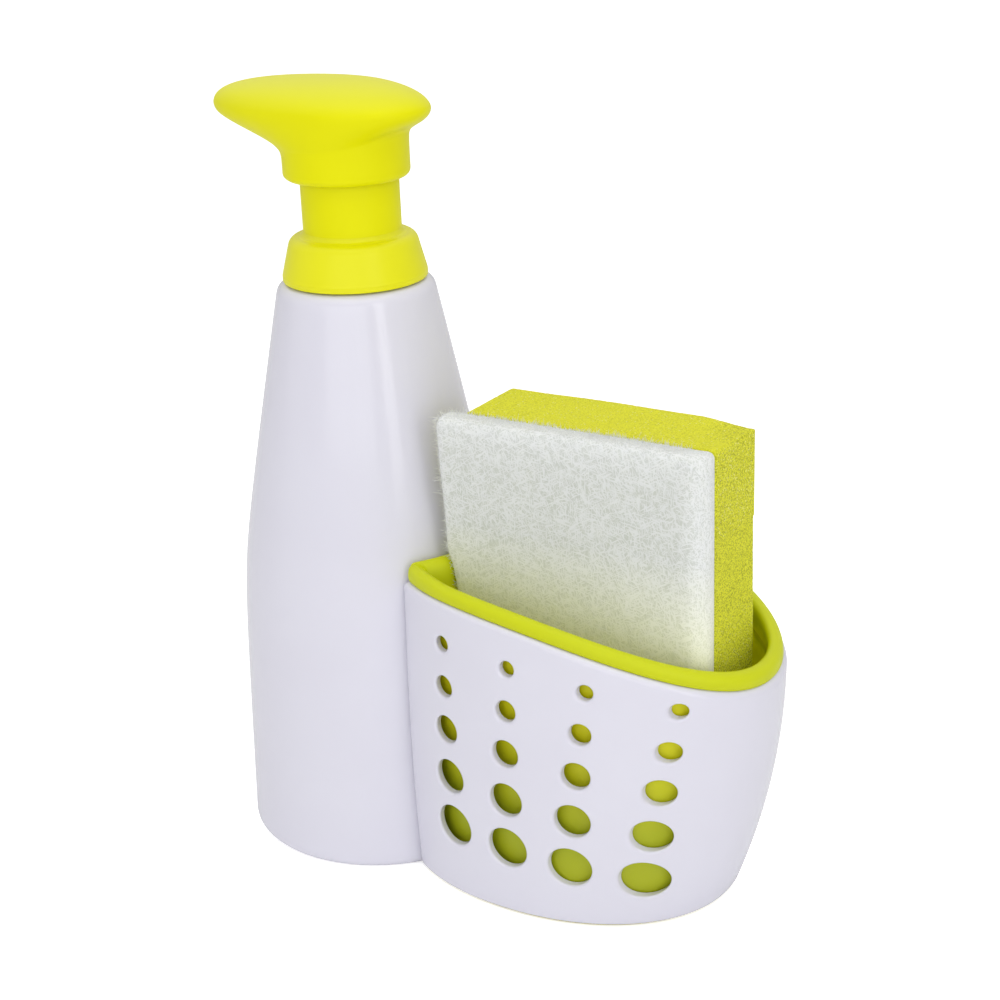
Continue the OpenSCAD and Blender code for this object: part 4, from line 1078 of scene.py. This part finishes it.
def curve_through(points, steps):
    """A smooth curve through points: between two of them it is the cubic that has the slope
    of the line between their neighbours."""
    points = np.asarray(points, float)
    ends = np.concatenate([2 * points[:1] - points[1:2], points, 2 * points[-1:] - points[-2:-1]])
    t = np.linspace(0, 1, steps, endpoint=False)[None, :, None]
    p0, p1, p2, p3 = (ends[k:len(ends) - 3 + k, None, :] for k in range(4))
    cubic = 2 * p1 + (p2 - p0) * t + (2 * p0 - 5 * p1 + 4 * p2 - p3) * t ** 2
    cubic = cubic + (3 * p1 - p0 - 3 * p2 + p3) * t ** 3
    return np.concatenate([(cubic / 2).reshape(-1, points.shape[1]), points[-1:]])


def from_lip(lift):
    """A lift over the rim that grows towards the bottle, by LIP_GROWTH at the most."""
    return lambda x: rim_z(x) + lift * (
        1 + LIP_GROWTH * np.clip((GROWTH_X - x) / GROWTH_W, 0, 1))


def wall_levels(inset, shares):
    """Levels at shares of the rim's height, which meet the foot's level at the bottom."""
    return [(inset, lambda x, s=s: s * rim_z(x) + (1 - s) * FOOT_H) for s in shares]


# The lip's section, as shares of its width and height from its outer foot
lip_end = LIP_INSET + LIP_W
lip_section = curve_through([
    (liner_inset, LIP_SEAT - 0.05), (LIP_INSET + 0.12 * LIP_W, LIP_SEAT - 0.1),
    (LIP_INSET + 0.015 * LIP_W, LIP_SEAT + 0.08 * LIP_H), (LIP_INSET, LIP_SEAT + 0.40 * LIP_H),
    (LIP_INSET + 0.09 * LIP_W, LIP_SEAT + 0.74 * LIP_H), (LIP_INSET + 0.34 * LIP_W, LIP_H),
    (LIP_INSET + 0.68 * LIP_W, 0.96 * LIP_H), (LIP_INSET + 0.93 * LIP_W, 0.7 * LIP_H),
    (lip_end, 0.25 * LIP_H), (liner_in + 0.4 * (lip_end - liner_in), -0.6 * LIP_H),
    (liner_in, -1.6 * LIP_H)], 4)
liner_shares = np.linspace(0.12, 0.93, 16)
outside_levels = foot_arc(liner_inset, liner_z, LINER_WALL)
outside_levels += wall_levels(liner_inset, liner_shares)
inside_levels = wall_levels(liner_in, liner_shares[::-1])
inside_levels += foot_arc(liner_in, floor_z, 2 * LINER_WALL)[::-1]
liner_rows = np.concatenate([
    ring_rows(outside_levels, draft=True),
    ring_rows([(inset, from_lip(lift)) for inset, lift in lip_section]),
    ring_rows(inside_levels, draft=True)])


def closed_floor(ring):
    """Rings that shrink evenly from a ring to one point, to close a floor."""
    share = np.linspace(1, 0, 10)[:, None, None]
    middle_point = np.array([floor_middle_x, 0, ring[:, 2].mean()])
    return middle_point + (ring - middle_point) * share


floor_middle_x = 78.0
rib_sheets = []
rib_near = saddle_r(liner_z, liner_in) + 2 * LINER_WALL
rib_far = far_x(liner_z) - liner_in - 8 * LINER_WALL
for number in range(RIB_COUNT):
    rib_y = ((number + 0.5) / RIB_COUNT - 0.5) * SPONGE_T
    rib_low = (rib_near, rib_y - RIB_W / 2, floor_z - RIB_SINK)
    rib_high = (rib_far, rib_y + RIB_W / 2, floor_z + RIB_H)
    rib_sheets += rounded_box(rib_low, rib_high, 0.7, 0.5)
cup = Look("liner_plastic")
cup_cloud = cup.noise(0.02, 2.0)
cup_grain = cup.noise(0.0004, 2.0, 0.6)
wall_side = cup.node("Attribute", {"attribute_name": "wall_side"}, {}, "Fac")
# Painted shade: the outer wall below the lip, seen through the holes, is painted dark olive for the dim
# gap behind the shell, lighter higher up.
painted_shade_outer = cup.mix(cup.along("Z").rise(0.03, 30), rgb(173, 181, 27), rgb(230, 225, 22))
cup_tone = cup.mix(cup_cloud, rgb(201, 209, 2), rgb(206, 213, 6))
# Painted light: the inner wall below the lip is painted near pure yellow for the glow of the lit cup's
# inside.
painted_glow_inner = cup.mix(cup_cloud, rgb(250, 250, 0), rgb(254, 254, 0))
cup_with_painted_glow = cup.mix((0 - wall_side).clip(), cup_tone, painted_glow_inner)
cup.lit_through(0.35, (0.006, 0.006, 0.001), 1.0)
liner_plastic = cup.set(
    Base_Color=cup.mix(wall_side.clip(), cup_with_painted_glow, painted_shade_outer),
    Specular_IOR_Level=0.3,
    Roughness=0.42 + 0.08 * cup_grain,
    Normal=cup.bump(cup_grain, 0.00002),
)
floors = [closed_floor(ring) for ring in (liner_rows[0], liner_rows[-1])]
cup_sheets = [(rows, False, True) for rows in (liner_rows, *floors)] + rib_sheets
cup_mesh = make_piece(
    "liner_cup", cup_sheets, liner_plastic, "liner_cup", ["liner"]).data

# wall_side is 1 on the outer wall below the lip, -1 on the inner one, and 0 on the lip. It places the
# painted shade on the outer wall and the painted light on the inner one.
cup_points, cup_normals = np.empty((2, len(cup_mesh.vertices) * 3), np.float32)
cup_mesh.vertices.foreach_get("co", cup_points)
cup_mesh.vertices.foreach_get("normal", cup_normals)
cup_x, cup_y, cup_z = cup_points.reshape(-1, 3).T / MM
cup_x = cup_x - AXIS_X
normal_x, normal_y = cup_normals.reshape(-1, 3).T[:2]
faces_out = normal_x * (cup_x - floor_middle_x) + normal_y * cup_y > 0
below_lip = np.clip((rim_z(cup_x) - 1.5 - cup_z) / 5, 0, 1) * np.where(faces_out, 1, -1)
cup_mesh.attributes.new("wall_side", "FLOAT", "POINT").data.foreach_set(
    "value", below_lip.astype(np.float32))

# Sponge foam
# A block of open-cell lime foam, cut with crisp edges and squeezed a little by the liner at
# its foot. Its surface is broken by fine pores.
FOAM_NEAR, FOAM_W, FOAM_T, PAD_T = 41.0, 73.0, 24.0, 6.5
SPONGE_H, SPONGE_GAP, SPONGE_OFF = 123.0, 0.4, 2.0
PORE_SIZE, PORE_DEPTH = 1.25, 0.2
# The near face leaves the saddle from HELD_FROM to HELD_TO, and its lean fades from LEAN_FROM
# to LEAN_TO. Above SADDLE_TOP the saddle counts as upright.
HELD_FROM, HELD_TO, SADDLE_TOP = 90.5, 96, 92
LEAN, LEAN_FROM, LEAN_TO = 0.28, 95, 135
SAG, SAG_W, SAG_H = 1.7, 17, 40
sponge_z = floor_z + RIB_H + 0.3
sponge_top = sponge_z + SPONGE_H
back_y = SPONGE_T / 2 - SPONGE_OFF
join_y = back_y - FOAM_T
front_y = join_y - PAD_T
foam_far = FOAM_NEAR + FOAM_W
foam_low = np.array([FOAM_NEAR, join_y, sponge_z])
foam_high = np.array([foam_far, back_y, sponge_top])


def squeeze_x(z):
    """Where the liner's far wall stops the sponge's corner."""
    mid, a = centre_of(z, liner_in)
    y = (SPONGE_T / 2 + SPONGE_OFF + SPONGE_GAP) / (half_w(z) - liner_in)
    return mid + a * (1 - y ** SQUARENESS) ** (1 / SQUARENESS) - SPONGE_GAP


def soft_step(value, low, high):
    """A soft step from 0 to 1 between low and high: 3s^2 - 2s^3 of the way s."""
    s = np.clip((value - low) / (high - low), 0, 1)
    return s * s * (3 - 2 * s)


def squeezed(points, near_edge):
    """Bends a block's points to the liner by sliding each along x between a near and a far
    face. The far face is held back below, the near face follows the saddle below the rim and
    leans above it, and the top sags at the far back corner."""
    x, y, z = points[..., 0], points[..., 1], points[..., 2]
    share = (x - near_edge) / (foam_far - near_edge)
    low_z = np.minimum(z, 0.6 * RIM_HIGH)
    far = np.minimum(foam_far, squeeze_x(low_z))
    clear = LIP_INSET + LIP_W + SPONGE_GAP
    hugged_r = saddle_r(np.minimum(z, SADDLE_TOP), clear)
    saddle = np.sqrt(np.clip(hugged_r ** 2 - y ** 2, 0, None))
    held = 1 - soft_step(z, HELD_FROM, HELD_TO)
    lean = LEAN * (1 - soft_step(z, LEAN_FROM, LEAN_TO))
    leaning = near_edge + lean * (FOAM_NEAR - near_edge)
    near = leaning + np.maximum(saddle - leaning, 0) * held
    sag = SAG * soft_step(x, foam_far - SAG_W, foam_far) * soft_step(y, join_y - 4, back_y)
    sag = sag * soft_step(z, sponge_top - SAG_H, sponge_top)
    return np.stack([near + (far - near) * share, y, z - sag], axis=-1)


def cell_walls(points, size, seed):
    """Distance, in sizes, from each point to the nearest of the points that are scattered one
    in each cube of a grid, by the sine of a large number: 0 in the middle of a pore."""
    scaled = points / size
    home = np.floor(scaled)
    best = np.full(points.shape[:-1], 9.0)
    for corner in np.ndindex(3, 3, 3):
        cube = home + np.array(corner) - 1
        mixed = cube @ np.array([127.1, 311.7, 74.7]) + seed
        mixed = np.stack([mixed, mixed * 1.37 + 19.2, mixed * 0.73 + 7.9], axis=-1)
        scatter = np.modf(np.abs(np.sin(mixed) * 43758.5453))[0]
        best = np.minimum(best, np.linalg.norm(cube + scatter - scaled, axis=-1))
    return best


foam_sheets = []
for points, *wraps in rounded_box(foam_low, foam_high, 0.5, 0.6):
    pit = np.clip(1 - cell_walls(points, PORE_SIZE, 3.0) / 0.55, 0, 1) ** 1.5
    toward = (foam_low + foam_high) / 2 - points
    toward = np.where(np.abs(toward) < np.abs(toward).max(axis=-1, keepdims=True), 0, toward)
    toward = toward / np.linalg.norm(toward, axis=-1, keepdims=True)
    inner = np.abs(points[..., 1] - join_y) > 0.3
    wave = 0.12 * np.sin(points[..., 0] / 7.1 + 1) * np.sin(points[..., 2] / 9.3) + 0.12
    moved = points + toward * ((PORE_DEPTH * pit + wave) * inner)[..., None]
    foam_sheets.append((squeezed(moved, FOAM_NEAR), *wraps))

sponge_look = Look("foam")


def foam_cells(scale, output="Distance"):
    """Cells strewn through the foam: how far the nearest one's middle is, or its own colour."""
    return sponge_look.node(
        "TexVoronoi", {"feature": "F1"}, {"Vector": sponge_look.place(), "Scale": scale}, output)


cells, fine_cells = foam_cells(2300.0), foam_cells(3100.0)
# Painted glints: a few specks are painted near white, with lower roughness, where light catches the
# cell walls.
glint_pick = sponge_look.node("SeparateColor", {}, {"Color": foam_cells(1500.0, "Color")}, "Red")
glint_spot = foam_cells(1500.0)
painted_glint = glint_pick.rise(0.80, 12) * glint_spot.rise(0.34, -9)
patch = sponge_look.noise(0.012, 3.0)
foam_height = sponge_look.along("Z")
# Painted light: from 112 mm down the foam is painted brighter and more saturated, to lift the shade
# under the lip.
painted_low_lift = foam_height.rise(0.112, -30)
# Painted light: the foam's top face is painted paler, for the lamp overhead.
top_light_mask = foam_height.rise((sponge_top - 1.5) * MM, 1000)
# Painted shade: the foam is painted dark where the pore relief sinks lowest, for the shade in the
# pores.
pore_shaded_tone = sponge_look.mix(cells.rise(0.28, 1.9), rgb(252, 252, 62), rgb(150, 153, 0))
lifted_low_tone = sponge_look.mix(painted_low_lift, rgb(232, 231, 40), rgb(236, 241, 4))
toned = sponge_look.mix(0.15 + 0.25 * patch, pore_shaded_tone, lifted_low_tone)
painted_top_light = sponge_look.mix(0.55 * top_light_mask, toned, rgb(246, 244, 44))
sponge_look.lit_through(0.3, (0.006, 0.006, 0.002), 1.0)
foam = sponge_look.set(
    Base_Color=sponge_look.mix(painted_glint, painted_top_light, rgb(255, 255, 150)),
    Roughness=0.85 - 0.55 * painted_glint,
    Normal=sponge_look.bump(cells * -0.7 - fine_cells * 0.4, 0.0004),
)
foam_block = make_piece(
    "foam_block", foam_sheets, foam, "sponge", ["sponge_foam"], sharp=70, merge=0.02)

# Scouring pad
# A thick mat of pale fibres, bonded to each other and to the face of the foam. Its body is a
# soft-edged slab with an uneven face, felted of crossed strands.
PAD_OVER, PAD_ROUND, PAD_SEAM = 6.4, 1.9, 0.05
# Width and share by which the far end is pressed thin, and rounding of the upper near corner
PILLOW_W, PILLOW_SHARE, PAD_CORNER = 5.0, 0.4, 3.2
pad_near = FOAM_NEAR - PAD_OVER
pad_sheets = []
for points, *wraps in rounded_box(
        (pad_near, front_y, sponge_z), (foam_far, join_y - PAD_SEAM, sponge_top), PAD_ROUND, 0.7):
    x, y, z = points[..., 0], points[..., 1], points[..., 2]
    lumps = 0.16 * cell_walls(points, 7.0, 11.0) + 0.05 * cell_walls(points, 1.7, 5.0) - 0.12
    front = soft_step(y, join_y - 1, front_y + 1)
    pillow = np.clip((x - foam_far + PILLOW_W) / PILLOW_W, 0, 1) ** 2
    y = y + 0.45 * lumps * front + PILLOW_SHARE * (join_y - y) * pillow
    corner = 1 - np.clip((x - pad_near) / PAD_CORNER, 0, 1)
    drop = PAD_CORNER * (1 - np.sqrt(1 - corner ** 2))
    drop = drop * soft_step(z, sponge_top - 4 * PAD_CORNER, sponge_top)
    flat = np.stack([x, y, z - drop], axis=-1)
    pad_sheets.append((squeezed(flat, pad_near), *wraps))

fibre_look = Look("scour_fibre")
warp = fibre_look.node(
    "TexNoise", {}, {"Vector": fibre_look.place(), "Scale": 260.0, "Detail": 2.0}, "Color")
shift = fibre_look.node(
    "VectorMath", {"operation": "SCALE"}, {"Vector": warp, "Scale": 0.0014}, "Vector")
bent = fibre_look.node(
    "VectorMath", {"operation": "ADD"}, {0: fibre_look.place(), 1: shift}, "Vector")


def strands(lean, size):
    """Streaks that lie at an angle over the mat, size metres wide and eleven times as long."""
    laid = fibre_look.node(
        "Mapping", {"vector_type": "TEXTURE"},
        {"Vector": bent, "Rotation": (0.0, lean, 0.0), "Scale": (11.0, 1.0, 1.0)})
    return fibre_look.noise(size, 0.0, 0.5, laid).rise(0.52, 6)


mat = strands(1.0, 0.00030).larger(strands(-0.55, 0.00034)).larger(
    strands(1.55, 0.00030)).larger(strands(0.2, 0.00036))
pad_patch = fibre_look.noise(0.016, 3.0)
pad_height = fibre_look.along("Z")
top_edge = pad_height.rise((sponge_top - 12) * MM, 110)
far_edge = fibre_look.along("X").rise((AXIS_X + foam_far - 8) * MM, 200)
# Lighter within 12 mm of the pad's top and 8 mm of its far end.
edge_band = top_edge.larger(far_edge)
shade = fibre_look.mix(pad_patch, rgb(200, 204, 196), rgb(207, 210, 202))
open_mat = fibre_look.mix(mat, shade, rgb(226, 228, 226))
edge_band_mat = fibre_look.mix(mat, rgb(212, 215, 211), rgb(234, 236, 235))
# Painted light: the pad's foot is painted lighter and yellow, for lime light bounced from the cup and
# to lift the shade under the lip.
painted_bounce_mat = fibre_look.mix(mat, rgb(232, 234, 204), rgb(248, 249, 224))
upper_mat = fibre_look.mix(edge_band, open_mat, edge_band_mat)
fibre_look.lit_through(0.6, (0.004, 0.004, 0.0035), 1.0)
scour_fibre = fibre_look.set(
    Base_Color=fibre_look.mix(pad_height.rise(0.104, -34), upper_mat, painted_bounce_mat),
    Roughness=0.7,
    Normal=fibre_look.bump(mat, 0.00004),
    Specular_IOR_Level=0.2,
)
pad = make_piece(
    "scouring_pad", pad_sheets, scour_fibre, "sponge", ["scour_pad"],
    sharp=80, merge=0.02)

# Loose fibres
# Strands that stand out of the mat's cut edges, and a few that lie on its face. Each is a
# thin tapered tube along a short arc, rooted in the mat.
LEFT_FIBRES, TOP_FIBRES, FACE_FIBRES = 4200, 2200, 500
FIBRE_RADII = 0.045 * np.array([1, 1, 0.9, 0.75, 0.4])
FIBRES = LEFT_FIBRES + TOP_FIBRES + FACE_FIBRES
AT_LEFT, AT_TOP, ON_FACE = 0, 1, 2
rng = np.random.default_rng(7)
kind = np.repeat([AT_LEFT, AT_TOP, ON_FACE], [LEFT_FIBRES, TOP_FIBRES, FACE_FIBRES])
free_z = sponge_z + 62 + (SPONGE_H - 63) * rng.uniform(0, 1, FIBRES)
root_x = np.where(kind == AT_LEFT, pad_near + 0.4, rng.uniform(pad_near + 2, foam_far - 6, FIBRES))
root_y = rng.uniform(front_y + 0.9, join_y - 0.8, FIBRES)
root_y = np.where(kind == ON_FACE, front_y + 0.08, root_y)
root_z = np.where(kind == AT_TOP, sponge_top - 0.3, free_z)
outward_x = np.where(kind == AT_LEFT, -1.0, 0.0)
outward_z = np.where(kind == AT_TOP, 1.0, 0.0)
stray = np.where(kind == ON_FACE, [[1], [0.05], [1]], [[0.5], [0.55], [0.6]])
heading = np.stack([outward_x, 0 * outward_x, outward_z]) + rng.normal(0, 1, (3, FIBRES)) * stray
heading /= np.linalg.norm(heading, axis=0)
bend = rng.normal(0, 0.35, (3, FIBRES)) * np.where(kind == ON_FACE, [[1], [0.0], [1]], 1.0)
face_span = rng.uniform(0.8, 2.4, FIBRES)
edge_span = np.minimum(rng.exponential(0.5, FIBRES) + 0.45, 2.4)
span = np.where(kind == ON_FACE, face_span, edge_span)[:, None, None]
along = np.linspace(0, 1, len(FIBRE_RADII))[None, :, None]
root = np.stack([root_x, root_y, root_z], axis=-1)[:, None]
arcs = heading.T[:, None] * along + 0.5 * bend.T[:, None] * along ** 2
path = squeezed(root + span * arcs, pad_near)
ahead = np.gradient(path, axis=1)
ahead /= np.linalg.norm(ahead, axis=-1, keepdims=True)
across = np.cross(ahead, np.array([0.05, -1.0, 0.02]))
across /= np.linalg.norm(across, axis=-1, keepdims=True)
up = np.cross(ahead, across)
side = np.array([0, 2 * np.pi / 3, 4 * np.pi / 3])
ring = across[:, :, None] * np.cos(side)[:, None] + up[:, :, None] * np.sin(side)[:, None]
fibre_points = path[:, :, None] + ring * FIBRE_RADII[:, None, None]
loose_look = Look("loose_fibre")
loose_tint = loose_look.noise(0.004, 2.0)
loose_fibre = loose_look.set(
    Base_Color=loose_look.mix(loose_tint, rgb(236, 238, 232), rgb(246, 247, 244)), Roughness=0.6)
make_piece(
    "pad_fibres", [(fibre_points, False, True)], loose_fibre, "sponge",
    merge=0, sharp=180)
